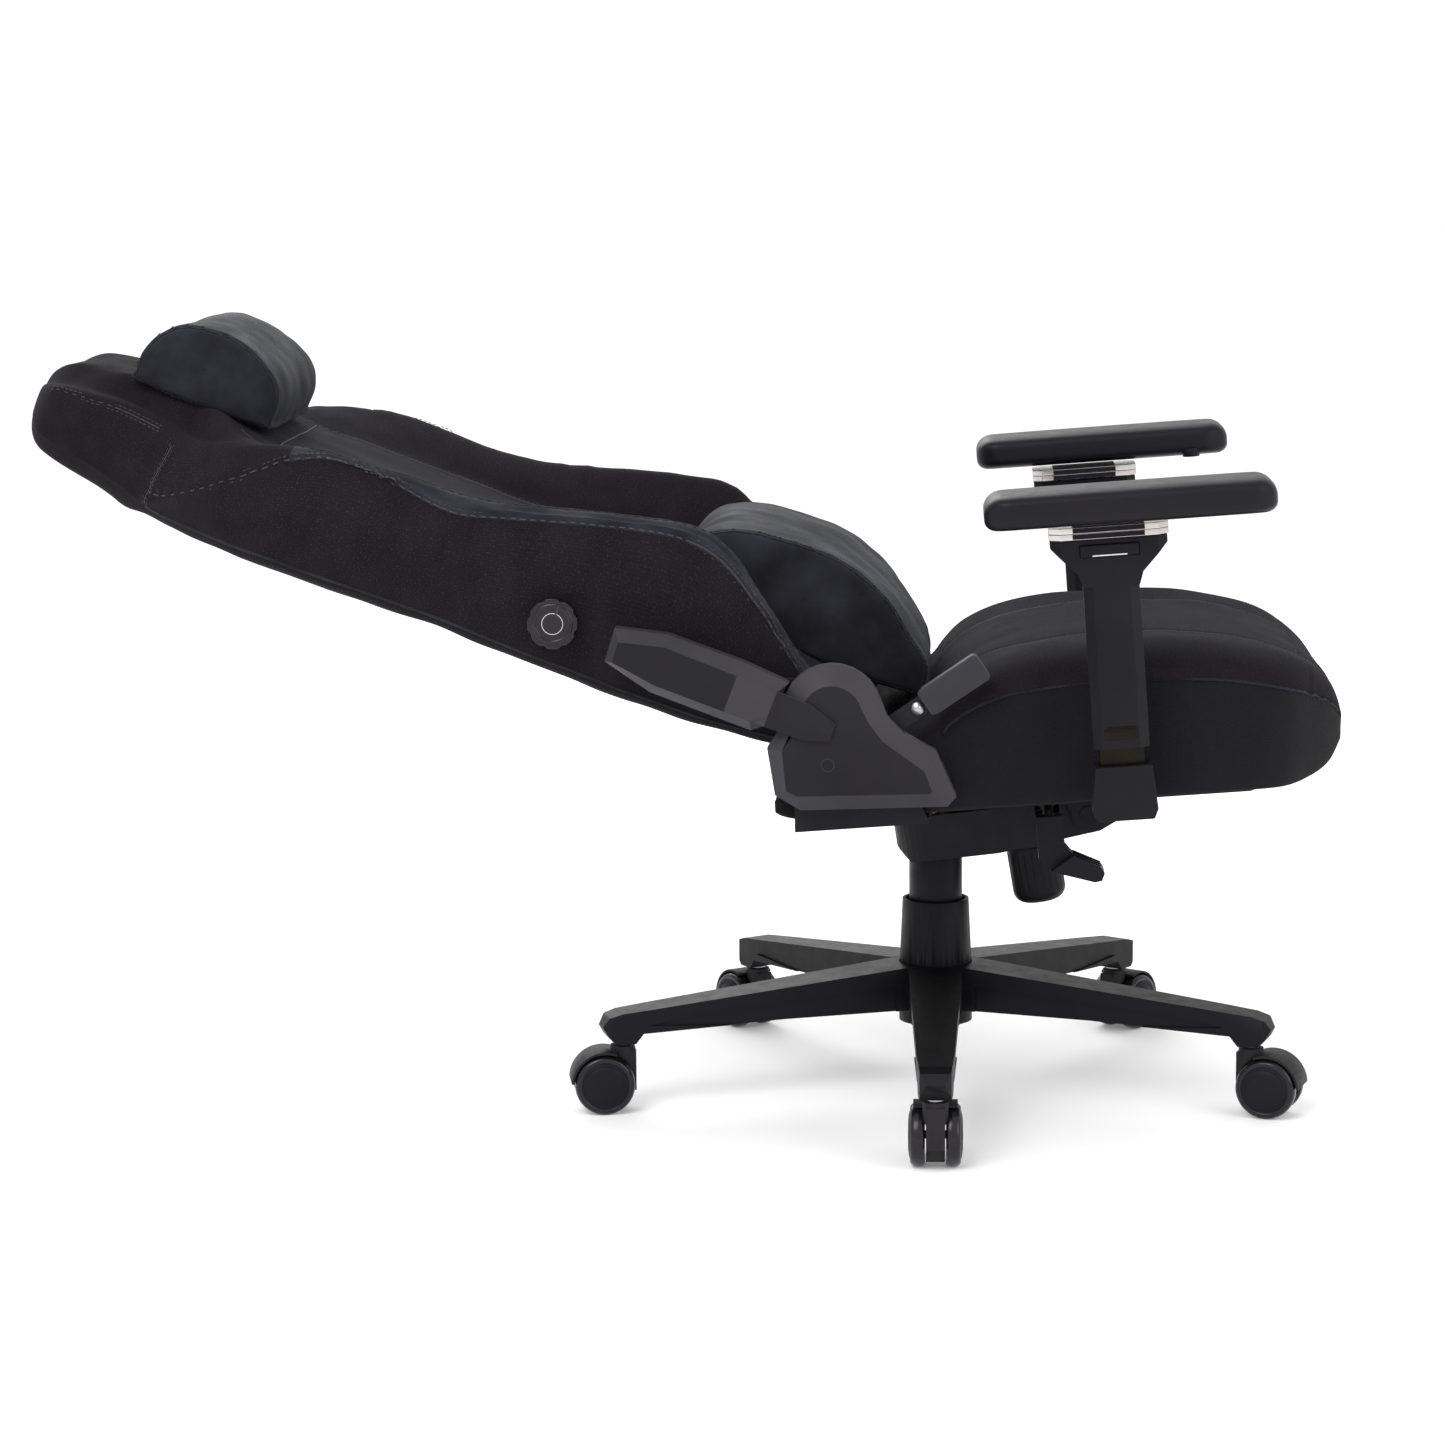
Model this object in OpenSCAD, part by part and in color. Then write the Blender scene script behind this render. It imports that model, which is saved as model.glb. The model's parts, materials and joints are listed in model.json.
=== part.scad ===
// Reclining gaming chair on a five-arm caster base, in millimetres.
// X points forwards, Y to the sitter's left and Z up; the column's axis meets the floor at the origin.

/* [Base] */
// Diameter of the five-arm base over its tips
base_d = 700; // [640:10:760]
// Diameter of the hub that holds the column
hub_d = 74; // [72:1:84]
// Height of the top of the hub above the floor
hub_top_z = 130; // [122:1:160]
// Height of an arm's top face at its tip
arm_tip_z = 101; // [99:1:112]
// Width of an arm where it leaves the hub
arm_root_w = 54; // [44:1:60]
// Width of an arm at its tip
arm_tip_w = 30; // [28:1:38]

/* [Casters] */
// Diameter of a caster wheel
wheel_d = 60; // [50:1:66]
// Width of one wheel without its cap
wheel_w = 14; // [10:1:20]
// Clear gap between the two wheels of a caster
wheel_gap = 20; // [19:1:26]
// Distance from the caster's stem to its axle
caster_trail = 19; // [14:1:24]
// Diameter of the caster's steel stem
stem_d = 11; // [9:0.5:12]
// Diameter of the wheel axle
axle_d = 8; // [6:0.5:10]

/* [Column] */
// Outer diameter of the column's standing tube
tube_d = 50; // [46:0.5:52]
// Wall of the standing tube
tube_wall = 1.5; // [1.2:0.1:2.5]
// Height of the top of the standing tube
tube_top_z = 190; // [180:1:194]
// Outer diameter of the gas cylinder
gas_d = 28; // [25:0.5:32]
// Diameter of the piston rod
rod_d = 10; // [8:0.5:12]
// Wall of the upper shroud
shroud_wall = 1.2; // [1:0.1:2]
// Height of the top rim of the lower shroud
shroud_top_z = 197.5; // [196:0.5:204]
// Travel of the gas lift above the height drawn
lift_up = 55; // [40:1:60]
// Travel of the gas lift below the height drawn
lift_down = 25; // [10:1:26]

/* [Mechanism] */
// Slope of the mechanism housing, nose up
mech_slope = 9; // [6:0.5:11]
// Height of the housing's centre on the column's axis
mech_z = 262; // [258:1:270]
// Half width of the housing at its widest
mech_half_w = 60; // [52:1:66]
// Wall of the housing
mech_wall = 3; // [2:0.5:5]
// Diameter of the tilt shaft
tilt_shaft_d = 16; // [12:1:20]
// Diameter of the tension knob
knob_d = 56; // [46:1:60]
// Length of the tension knob
knob_len = 60; // [48:1:66]
// Diameter of the control lever's rod
lever_rod_d = 10; // [8:0.5:12]

/* [Seat] */
// Slope of the whole seat, nose up
seat_slope = 4; // [2:0.5:6]
// Height of the seat frame's datum on the column's axis
seat_z = 300; // [298:1:312]
// Width of the seat cushion
seat_w = 510; // [480:5:520]
// Distance from the column's axis to the front of the seat
seat_front = 404; // [360:4:440]
// Height of the cushion's crown above the seat's datum
seat_crown = 186; // [176:1:196]
// Thickness of the seat board
board_t = 12; // [9:1:15]

/* [Back] */
// Angle of the back behind the seat's normal, as it stands
recline = 65; // [60:1:68]
// Length of the back above the recline pivot
back_len = 853; // [800:5:880]
// Half width of the back across its shoulders
shoulder_half_w = 262; // [250:2:270]
// Half width of the back at the hips
hip_half_w = 246; // [234:2:248]
// Half width of the head section
head_half_w = 146; // [136:2:170]
// Thickness of the steel recliner plates
plate_t = 5; // [3:0.5:5.5]
// Diameter of the recliner's hinge pins
hinge_pin_d = 16; // [12:1:20]
// Diameter of the lumbar knob
lumbar_knob_d = 48; // [40:1:56]

/* [Pillows] */
// Width of the head pillow
head_pillow_w = 260; // [220:10:280]
// Width of the lumbar pillow
lumbar_pillow_w = 300; // [260:10:310]

/* [Armrests] */
// Distance from the seat's side out to the middle of an armrest post
arm_out = 47; // [45:1:57]
// Distance of an armrest post ahead of the column
arm_x = 179; // [170:1:190]
// Length of an armrest pad
pad_len = 267; // [240:1:290]
// Width of an armrest pad
pad_w = 96; // [84:1:104]
// Thickness of an armrest pad
pad_t = 33; // [26:1:38]
// Width of the steel post, front to back
post_w = 41; // [34:1:44]
// Gap between the foot cover and the sleeve
sleeve_gap = 16; // [12:1:24]

/* [Hidden] */
$fn = 64;
CASTERS = 5;
// Gap of a pressed or bolted fit, of a running fit and of a loose one
press_gap = 0.05;
run_gap = 0.1;
loose_gap = 0.6;

// ---- shared outlines and placements -------------------------------------------------------

// Points along an arc about c, from angle a0 to a1, n steps
function arc(c, r, a0, a1, n) =
    [for (i = [0:n]) let (a = a0 + (a1 - a0) * i / n) [c[0] + r * cos(a), c[1] + r * sin(a)]];

// A list of points mirrored in the line x = 0 and reversed, to close a symmetric outline
function mirrored(p) = [for (i = [len(p) - 1:-1:0]) [-p[i][0], p[i][1]]];

// Extrudes an outline drawn in X and Z along Y, from y0 to y1
module along_y(y0, y1) {
    translate([0, y1, 0]) rotate([90, 0, 0]) linear_extrude(y1 - y0) children();
}

// Extrudes an outline drawn in Y and Z along X, from x0 to x1
module along_x(x0, x1) {
    translate([x0, 0, 0]) rotate([90, 0, 90]) linear_extrude(x1 - x0) children();
}

// A round bar along Y
module bar_y(d, x, z, y0, y1) {
    translate([x, y1, z]) rotate([90, 0, 0]) cylinder(d = d, h = y1 - y0);
}

// A round bar along X
module bar_x(d, y, z, x0, x1) {
    translate([x0, y, z]) rotate([0, 90, 0]) cylinder(d = d, h = x1 - x0);
}

// A tube standing on Z
module tube_z(d_out, d_in, z0, z1) {
    difference() {
        translate([0, 0, z0]) cylinder(d = d_out, h = z1 - z0);
        translate([0, 0, z0 - 1]) cylinder(d = d_in, h = z1 - z0 + 2);
    }
}

// A plate between two clockwise outlines of equal count: straight from y0 to y1, then bevelled to y2
module bevelled_plate(outer, inner, y0, y1, y2) {
    n = len(outer);
    points = concat([for (p = outer) [p[0], y0, p[1]]], [for (p = outer) [p[0], y1, p[1]]],
        [for (p = inner) [p[0], y2, p[1]]]);
    polyhedron(points, concat(
        [[for (i = [0:n - 1]) i]],
        [for (k = [0:1], i = [0:n - 1], half = [0:1]) let (j = (i + 1) % n)
            half == 0 ? [k * n + i, (k + 1) * n + i, (k + 1) * n + j]
                : [k * n + i, (k + 1) * n + j, k * n + j]],
        [[for (i = [n - 1:-1:0]) 2 * n + i]]), convexity = 6);
}

// Frames: the sloping mechanism, the sloping seat and the reclined back
module in_mech() { translate([0, 0, mech_z]) rotate([0, -mech_slope, 0]) children(); }
module in_seat() { translate([0, 0, seat_z]) rotate([0, -seat_slope, 0]) children(); }
module in_back() { in_seat() translate([pivot_x, 0, pivot_z]) rotate([0, -recline, 0]) children(); }

// Puts a part drawn for the right-hand side (negative Y) on either side
module on_side(side) { if (side < 0) children(); else mirror([0, 1, 0]) children(); }

// ---- base and casters ---------------------------------------------------------------------

tip_r = base_d / 2;
stem_r = tip_r - 22;
socket_z = 70;
socket_boss_d = 26;
stem_top_z = socket_z + 24;
hub_bottom_z = 72;
hub_bore_d = tube_d + 2 * press_gap;

// Side view of one arm, radius against height
arm_side = [[hub_d / 4, hub_top_z + 2], [hub_d / 2 + 1, hub_top_z + 2], [tip_r - 19, arm_tip_z],
    [tip_r - 6, arm_tip_z - 4], [tip_r, arm_tip_z - 14], [tip_r - 5, socket_z + 8],
    [stem_r + socket_boss_d / 2 - 3, socket_z], [stem_r - socket_boss_d / 2 + 3, socket_z],
    [stem_r - socket_boss_d / 2 - 5, socket_z + 10], [hub_d / 2 + 130, 86], [hub_d / 4, 88]];

// Plan of one arm
arm_plan = [[0, -arm_root_w / 2], [hub_d / 2, -arm_root_w / 2], [tip_r - 50, -arm_tip_w / 2 - 3],
    [tip_r - 8, -arm_tip_w / 2], [tip_r, -arm_tip_w / 2 + 6], [tip_r, arm_tip_w / 2 - 6],
    [tip_r - 8, arm_tip_w / 2], [tip_r - 50, arm_tip_w / 2 + 3], [hub_d / 2, arm_root_w / 2],
    [0, arm_root_w / 2]];

// Long shallow recess under the flange on each side of an arm
recess_side = [[hub_d / 2 + 12, hub_top_z - 17], [tip_r - 90, arm_tip_z - 5], [tip_r - 46, arm_tip_z - 13],
    [hub_d / 2 + 150, 82], [hub_d / 2 + 12, 84]];

module arm() {
    difference() {
        intersection() {
            along_y(-arm_root_w, arm_root_w) polygon(arm_side);
            translate([0, 0, 50]) linear_extrude(hub_top_z) polygon(arm_plan);
        }
        for (s = [-1, 1])
            rotate([0, 0, -s * atan((arm_root_w / 2 - arm_tip_w / 2 - 3) / (tip_r - 50 - hub_d / 2))])
                along_y(s > 0 ? arm_root_w / 2 - 1.4 : -arm_root_w / 2 - 20,
                    s > 0 ? arm_root_w / 2 + 20 : -arm_root_w / 2 + 1.4)
                    polygon(recess_side);
        // channel open to the floor
        along_y(-arm_tip_w / 2 + 6, arm_tip_w / 2 - 6)
            polygon([[hub_d / 2 + 8, 60], [hub_d / 2 + 8, hub_top_z - 14],
                [stem_r - 30, arm_tip_z - 7], [stem_r - 30, 60]]);
    }
}

module base_star() {
    color("#1c1c1e") difference() {
        union() {
            translate([0, 0, hub_bottom_z]) cylinder(d = hub_d, h = hub_top_z - hub_bottom_z);
            for (i = [0:CASTERS - 1]) rotate([0, 0, caster_angle(i)]) arm();
        }
        translate([0, 0, 0]) cylinder(d = hub_bore_d, h = hub_top_z + 20);
        translate([0, 0, hub_top_z]) cylinder(d = hub_d + 0.4, h = 20);
        for (i = [0:CASTERS - 1]) rotate([0, 0, caster_angle(i)])
            translate([stem_r, 0, 0]) cylinder(d = stem_d + 2 * press_gap, h = stem_top_z + 0.5);
    }
}

function caster_angle(i) = -90 + 72 * i;
// Way each caster trails, as an angle about its stem from the outward direction
trail_turn = [180, 0, 0, 0, -9];

module at_caster(i) {
    rotate([0, 0, caster_angle(i)]) translate([stem_r, 0, 0]) rotate([0, 0, trail_turn[i]]) children();
}

hood_top_z = socket_z - 3;
stem_low_z = 48;
axle_z = wheel_d / 2;
hood_w = wheel_gap - 2;

module caster_stems() {
    color("#8a8d90") for (i = [0:CASTERS - 1]) at_caster(i) {
        translate([0, 0, stem_low_z]) cylinder(d = stem_d, h = stem_top_z - stem_low_z);
        translate([0, 0, hood_top_z + 0.4]) cylinder(d = stem_d + 6, h = socket_z - hood_top_z - 0.4);
    }
}

fender_gap = 1.2;
fender_t = 2.2;
fender_w = 2 * (wheel_gap / 2 + wheel_w - 3);

module caster_hood(i) {
    stem_bore = stem_d + 2 * run_gap;
    fender_d = wheel_d + 2 * fender_gap;
    color("#232326") at_caster(i) difference() {
        union() {
            // round web between the wheels
            bar_y(wheel_d - 8, caster_trail, axle_z, -hood_w / 2, hood_w / 2);
            translate([-13, -hood_w / 2, axle_z - 8])
                cube([caster_trail + 13, hood_w, hood_top_z - axle_z + 4]);
            // fender over the wheels, down to the axle's height behind
            intersection() {
                difference() {
                    bar_y(fender_d + 2 * fender_t, caster_trail, axle_z, -fender_w / 2, fender_w / 2);
                    bar_y(fender_d, caster_trail, axle_z, -fender_w / 2 - 1, -hood_w / 2);
                    bar_y(fender_d, caster_trail, axle_z, hood_w / 2, fender_w / 2 + 1);
                }
                translate([caster_trail - 12, -fender_w, axle_z + 2]) cube([wheel_d, 2 * fender_w,
                    wheel_d]);
            }
            translate([0, 0, axle_z]) cylinder(d = 24.5, h = hood_top_z - axle_z);
        }
        for (s = [-1, 1]) translate([0, s * (hood_w / 2 + 10), 0])
            bar_y(fender_d, caster_trail, axle_z, -10, 10);
        translate([0, 0, stem_low_z - 0.5]) cylinder(d = stem_bore, h = 60);
        bar_y(axle_d + 2 * run_gap, caster_trail, axle_z, -hood_w, hood_w);
    }
}

// Profile of one wheel: radius against distance from the caster's mid plane
wheel_in = wheel_gap / 2;
wheel_out = wheel_in + wheel_w;
wheel_profile = [[axle_d / 2 + press_gap, wheel_in], [wheel_d / 2 - 1, wheel_in], [wheel_d / 2,
    wheel_in + 1],
    [wheel_d / 2, wheel_out - 4], [wheel_d / 2 - 1.2, wheel_out - 1.6], [wheel_d / 2 - 4, wheel_out],
    [wheel_d / 2 - 6.5, wheel_out], [wheel_d / 2 - 6.5, wheel_out - 2], [axle_d / 2 + press_gap,
        wheel_out - 2]];
cap_profile = [[0, wheel_out - 2], [wheel_d / 2 - 6.6, wheel_out - 2], [wheel_d / 2 - 6.6, wheel_out],
    [wheel_d / 2 - 9, wheel_out + 1], [wheel_d / 4, wheel_out + 1.8], [0, wheel_out + 2]];

module caster_wheels(i) {
    at_caster(i) translate([caster_trail, 0, axle_z]) {
        for (s = [-1, 1]) scale([1, s, 1]) rotate([-90, 0, 0]) {
            color("#101012") rotate_extrude() polygon(wheel_profile);
            color("#1d1d20") rotate_extrude() polygon(cap_profile);
        }
        color("#8a8d90") bar_y(axle_d, 0, 0, -wheel_out + 2.2, wheel_out - 2.2);
    }
}

// ---- column -------------------------------------------------------------------------------

tube_low_z = hub_bottom_z - 6;
tube_in_d = tube_d - 2 * tube_wall;
bush_low_z = tube_top_z - 58;
bearing_z = tube_low_z + 3;
bearing_h = 6;
collar_h = 2;
gas_low_z = bearing_z + bearing_h + collar_h + lift_down + 2;
gas_top_z = mech_z + 22;
gas_bore_d = gas_d - 6;
gas_floor = 8;
piston_z = gas_low_z + gas_floor + lift_up + 3;
piston_h = 10;
rod_low_z = tube_low_z - 4;
shroud_low_z = hub_top_z + lift_down + 3;
upper_shroud_d = tube_d + 2 * loose_gap + 2 * shroud_wall;
housing_low_z = mech_z - 24;

module column_tube() {
    color("#202124") difference() {
        translate([0, 0, tube_low_z]) cylinder(d = tube_d, h = tube_top_z - tube_low_z);
        translate([0, 0, bearing_z]) cylinder(d = tube_in_d, h = tube_top_z);
        cylinder(d = rod_d + 2 * run_gap, h = bearing_z + 1);
    }
}

module guide_bush() {
    color("#d8d8d0") tube_z(tube_in_d - 2 * press_gap, gas_d + 2 * run_gap, bush_low_z, tube_top_z + 2);
}

module thrust_bearing() {
    color("#9a9ca0") tube_z(tube_in_d - 8, rod_d + 2 * run_gap, bearing_z, bearing_z + bearing_h);
}

module piston_rod() {
    color("#b8bcc0") {
        translate([0, 0, rod_low_z]) cylinder(d = rod_d, h = piston_z - rod_low_z);
        translate([0, 0, bearing_z + bearing_h + 0.1]) cylinder(d = rod_d + 8, h = collar_h);
        translate([0, 0, piston_z]) cylinder(d = gas_bore_d - 2 * run_gap, h = piston_h);
        translate([0, 0, rod_low_z - 1.5]) cylinder(d = rod_d + 7, h = 2.5);
    }
}

module gas_cylinder() {
    color("#26272a") difference() {
        translate([0, 0, gas_low_z]) cylinder(d = gas_d, h = gas_top_z - gas_low_z);
        translate([0, 0, gas_low_z + gas_floor])
            cylinder(d = gas_bore_d, h = gas_top_z - gas_low_z - gas_floor - 16);
        translate([0, 0, gas_low_z - 1]) cylinder(d = rod_d + 2 * run_gap, h = gas_floor + 4);
        translate([0, 0, gas_top_z - 18]) cylinder(d = valve_d + 2 * run_gap, h = 20);
    }
}

valve_d = 8;
valve_travel = 4.5;
valve_stand = valve_travel + 2;

module valve_pin() {
    color("#c8a060") translate([0, 0, gas_top_z - 12]) cylinder(d = valve_d, h = 12 + valve_stand);
}

module lower_shroud() {
    wall = 3;
    color("#1f1f22") difference() {
        translate([0, 0, hub_top_z]) cylinder(d1 = hub_d - 1, d2 = hub_d - 7, h = shroud_top_z - hub_top_z);
        translate([0, 0, hub_top_z - 1])
            cylinder(d1 = hub_d - 1 - 2 * wall, d2 = hub_d - 7 - 2 * wall,
                h = shroud_top_z - hub_top_z + 2);
    }
}

module upper_shroud() {
    color("#202023") difference() {
        tube_z(upper_shroud_d, upper_shroud_d - 2 * shroud_wall, shroud_low_z, mech_z);
        in_mech() translate([-200, -200, -mech_depth]) cube([400, 400, 200]);
    }
}

// ---- tilt mechanism -----------------------------------------------------------------------

mech_depth = 19;
mech_rise = 27;
knob_x = 95;
tilt_x = 150;
tilt_z = -16;
plate_z = 20;
spring_d = 34;
spring_wire = 5;
socket_d = 44;

// Side view of the housing, inset by w and raised at its open top by over
function mech_side(w, over) = [[-40 + w, -4], [-28 + w, -mech_depth + w], [62, -mech_depth + w + 1],
    [163, -mech_depth + w + 8], [216 - w, 6 + w], [216 - w, mech_rise - 13 + over],
    [79, mech_rise + over], [-26 + w, mech_rise + over], [-40 + w, mech_rise - 8 + over]];

// Half plan of the housing, inset by w: a round back, then a pear that widens to the knob
function mech_half_plan(w) = concat(arc([2, 0], 42 - w, 180, 100, 8),
    [[60, mech_half_w - w], [165, mech_half_w - w], [216 - w, mech_half_w - 22 - w]]);
function mech_plan(w) = concat(mech_half_plan(w), [for (i = [len(mech_half_plan(w)) - 1:-1:1])
    [mech_half_plan(w)[i][0], -mech_half_plan(w)[i][1]]]);

module mech_form(w, over) {
    intersection() {
        along_y(-mech_half_w - 1, mech_half_w + 1) polygon(mech_side(w, over));
        translate([0, 0, -100]) linear_extrude(200) polygon(mech_plan(w));
    }
}

boss_t = 8;
// Height of the spring's seat above the outer face of the housing's floor
spring_seat_h = 8;

module mechanism_housing() {
    color("#26282a") difference() {
        union() {
            in_mech() difference() {
                mech_form(0, 0);
                mech_form(mech_wall, 6);
            }
            // socket that sits on the gas cylinder
            translate([0, 0, housing_low_z + 4]) cylinder(d = socket_d, h = gas_top_z - housing_low_z - 14);
            in_mech() translate([knob_x, 0, -mech_depth - 4]) cylinder(d = knob_d + 6,
                h = spring_seat_h + 4);
            // ears for the lever's trunnions
            in_seat() for (x = [lever_x - 19, lever_x + 12])
                translate([x, -mech_half_w - 1, lever_z - 12]) cube([7, 10, 17]);
            in_seat() for (s = [-1, 1])
                bar_y(tilt_shaft_d + 14, tilt_x, tilt_z, s > 0 ? mech_half_w - 1 - boss_t : 1 - mech_half_w,
                    s > 0 ? mech_half_w - 1 : 1 - mech_half_w + boss_t);
        }
        translate([0, 0, 200]) cylinder(d = gas_d + 2 * press_gap, h = 100);
        in_mech() translate([knob_x, 0, -60]) cylinder(d = knob_bolt_d + 2 * run_gap, h = 100);
        in_seat() bar_y(tilt_shaft_d + 2 * run_gap, tilt_x, tilt_z, -100, 100);
        // window in the right-hand wall for the control lever, and its trunnion holes
        in_seat() translate([lever_x - 12, -mech_half_w - 5, lever_z - 14]) cube([24, 20, 40]);
        in_seat() bar_x(trunnion_d + 2 * run_gap, -lever_fulcrum_y, lever_z, lever_x - 17.5,
            lever_x + 17.5);
    }
}

module tilt_shaft() {
    color("#8f9296") in_seat() bar_y(tilt_shaft_d, tilt_x, tilt_z, -ear_out - 1, ear_out + 1);
}

knob_bolt_d = 12;

// Round coil swept along a helix about Z
module coil(d, wire, h, turns) {
    steps = 18 * turns;
    sides = 6;
    r = (d - wire) / 2;
    points = [for (i = [0:steps], k = [0:sides - 1])
        let (a = 360 * turns * i / steps, b = 360 * k / sides, q = r + wire / 2 * cos(b))
        [q * cos(a), q * sin(a), wire / 2 + (h - wire) * i / steps + wire / 2 * sin(b)]];
    polyhedron(points, concat([[for (k = [0:sides - 1]) k]],
        [for (i = [0:steps - 1], k = [0:sides - 1]) let (m = (k + 1) % sides)
            [i * sides + k, (i + 1) * sides + k, (i + 1) * sides + m, i * sides + m]],
        [[for (k = [sides - 1:-1:0]) steps * sides + k]]));
}

spring_low = -mech_depth + spring_seat_h + 0.2;
spring_len = 28;
knob_bolt_top = 20;
// Where the spring's top stands in the seat's frame
lean = mech_slope - seat_slope;
yoke_x = knob_x * cos(lean) - (spring_low + spring_len) * sin(lean) + (mech_z - seat_z) * sin(seat_slope);
spring_top_z = (mech_z - seat_z) * cos(seat_slope) + knob_x * sin(lean)
    + (spring_low + spring_len) * cos(lean) + spring_d / 2 * sin(lean);
yoke_t = 5;

module tension_spring() {
    color("#a8a8a0") in_mech() translate([knob_x, 0, spring_low]) coil(spring_d, spring_wire,
        spring_len, 5);
}

module tension_knob() {
    low = -mech_depth - 5;
    ribs = 22;
    color("#1c1c1e") in_mech() translate([knob_x, 0, 0]) {
        difference() {
            rotate_extrude() polygon(concat([[0, low], [knob_d / 2 - 1, low]],
                arc([knob_d / 2 - 14, low - knob_len + 14], 12.5, 0, -90, 6), [[0, low - knob_len + 1.5]]));
            for (i = [0:ribs - 1]) rotate([0, 0, 360 * i / ribs])
                translate([knob_d / 2 - 0.2, 0, low - knob_len - 1]) cylinder(d = 3.4,
                    h = knob_len - 6, $fn = 16);
        }
        translate([0, 0, low - 1]) cylinder(d = knob_bolt_d, h = knob_bolt_top - low + 1);
    }
}

// Cup under the seat plate that the spring pushes up, bridging the plate's window
module spring_yoke() {
    color("#33343a") in_seat() difference() {
        union() {
            translate([yoke_x - 17, -window_y - 14, plate_z - yoke_t]) cube([34, 2 * window_y + 28,
                yoke_t]);
            translate([yoke_x, 0, spring_top_z + 0.3])
                cylinder(d = spring_d, h = plate_z - spring_top_z - 1);
        }
        translate([yoke_x, 0, -40]) cylinder(d = knob_bolt_d + 8, h = 80);
    }
}

// ---- control lever ------------------------------------------------------------------------

lever_x = 110;
lever_z = 0;
lever_y = 180;
lever_fulcrum_y = mech_half_w - 3;
bush_d = lever_rod_d + 8;
trunnion_d = 6;
trunnion_half = 17;
handle_grip = 26;
handle_top = lever_rod_d / 2 + 1.5;

// Bush that rocks in the housing's window on two short trunnions and guides the rod
module lever_bush() {
    color("#3b3c40") in_seat() difference() {
        union() {
            bar_y(bush_d, lever_x, lever_z, -lever_fulcrum_y - 9, -lever_fulcrum_y + 9);
            bar_x(trunnion_d, -lever_fulcrum_y, lever_z, lever_x - trunnion_half, lever_x + trunnion_half);
        }
        bar_y(lever_rod_d + 2 * press_gap, lever_x, lever_z, -100, 0);
    }
}

// Rod with a flat finger that runs round the spring and lies over the valve pin
module lever_rod() {
    finger_low = valve_top_z + 0.2;
    finger_t = 4;
    color("#2a2a2c") in_seat() {
        bar_y(lever_rod_d, lever_x, lever_z, -lever_y - 8, -26);
        translate([valve_top_x - 8, -36, finger_low]) cube([lever_x - valve_top_x + 13, 12, finger_t]);
        translate([valve_top_x - 8, -36, finger_low]) cube([16, 44, finger_t]);
        translate([lever_x - 5, -36, finger_low]) cube([10, 10, lever_z - finger_low]);
    }
}

// Top of the valve pin in the seat's frame
valve_top_x = (gas_top_z + valve_stand - seat_z) * sin(seat_slope);
valve_top_z = (gas_top_z + valve_stand - seat_z) * cos(seat_slope) + valve_d / 2 * sin(seat_slope);

// Outline of the handle, forwards against height from the rod's axis
handle_side = [[-13, handle_top], [12, handle_top], [13, -22], [20, -31], [46, -44], [49, -50], [46,
    -57], [39, -58],
    [-2, -45], [-13, -35]];

module lever_handle() {
    color("#151517") in_seat() translate([lever_x, -lever_y, lever_z]) difference() {
        union() {
            along_y(-14, 4) polygon(handle_side);
            bar_y(2 * handle_top, 0, 0, -10, handle_grip);
            // wider paddle at the lower end
            along_y(-26, 10) polygon([for (i = [3:8]) handle_side[i]]);
        }
        bar_y(lever_rod_d + 2 * run_gap, 0, 0, -8.5, handle_grip + 1);
        // shallow slots along the paddle's upper face
        for (k = [-1:1]) translate([20, -8 + 10 * k - 3, -36]) rotate([0, 27, 0]) cube([26, 6, 10]);
    }
}

// ---- seat ---------------------------------------------------------------------------------

seat_half = seat_w / 2;
arm_y = seat_half + arm_out;
plate_h = 6;
seat_plate_half = 106;
board_z = plate_z + plate_h;
board_top = board_z + board_t;
board_half = seat_half - 18;
board_back = -128;
board_front = seat_front - 64;
ear_in = mech_half_w + 1.5;
ear_out = ear_in + 4;
bolt_d = 8;
pivot_x = -88;
pivot_z = 133.5;

window_y = mech_half_w + 8;
window_back = -46;
window_front = 212;

module seat_plate() {
    color("#2b2b2e") in_seat() difference() {
        union() {
            translate([window_back - 22, -seat_plate_half, plate_z])
                cube([window_front - window_back + 44, 2 * seat_plate_half, plate_h]);
            for (s = [-1, 1]) along_y(s > 0 ? ear_in : -ear_out, s > 0 ? ear_out : -ear_in)
                union() {
                    translate([tilt_x, tilt_z]) circle(d = tilt_shaft_d + 16);
                    polygon([[tilt_x - 34, plate_z + 1], [tilt_x - 15, tilt_z], [tilt_x + 15, tilt_z],
                        [tilt_x + 24, plate_z + 1]]);
                }
        }
        // window that clears the housing when the seat rocks back
        translate([window_back, -ear_in, plate_z - 1])
            cube([window_front - window_back, 2 * ear_in, plate_h + 2]);
        bar_y(tilt_shaft_d + 2 * press_gap, tilt_x, tilt_z, -100, 100);
        board_holes();
    }
}

// Inner end of an armrest bracket, and the bolt rows counted from it, the plate and the board
bracket_end = seat_plate_half + 12;
bracket_bolt_y = bracket_end + 32;
flange_bolt_y = board_half - 15;
plate_bolt_y = seat_plate_half - 14;

// Right-hand places of the bolts up into the board: plate, recliner flanges and armrest brackets
bolt_places = [[-56, plate_bolt_y], [120, plate_bolt_y], [pivot_x - 20, flange_bolt_y],
    [pivot_x + 60, flange_bolt_y], [arm_x - 12, bracket_bolt_y], [arm_x + 12, bracket_bolt_y]];

module board_holes() {
    for (p = bolt_places, s = [-1, 1])
        translate([p[0], s * p[1], 0]) cylinder(d = bolt_d + 2 * press_gap, h = 60);
}

module seat_bolts() {
    color("#77797c") in_seat() for (p = bolt_places, s = [-1, 1]) translate([p[0], s * p[1], 0]) {
        translate([0, 0, plate_z - 5]) cylinder(d = bolt_d + 6, h = 5, $fn = 6);
        translate([0, 0, plate_z - 1]) cylinder(d = bolt_d, h = board_top - plate_z - 1);
    }
}

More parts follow.
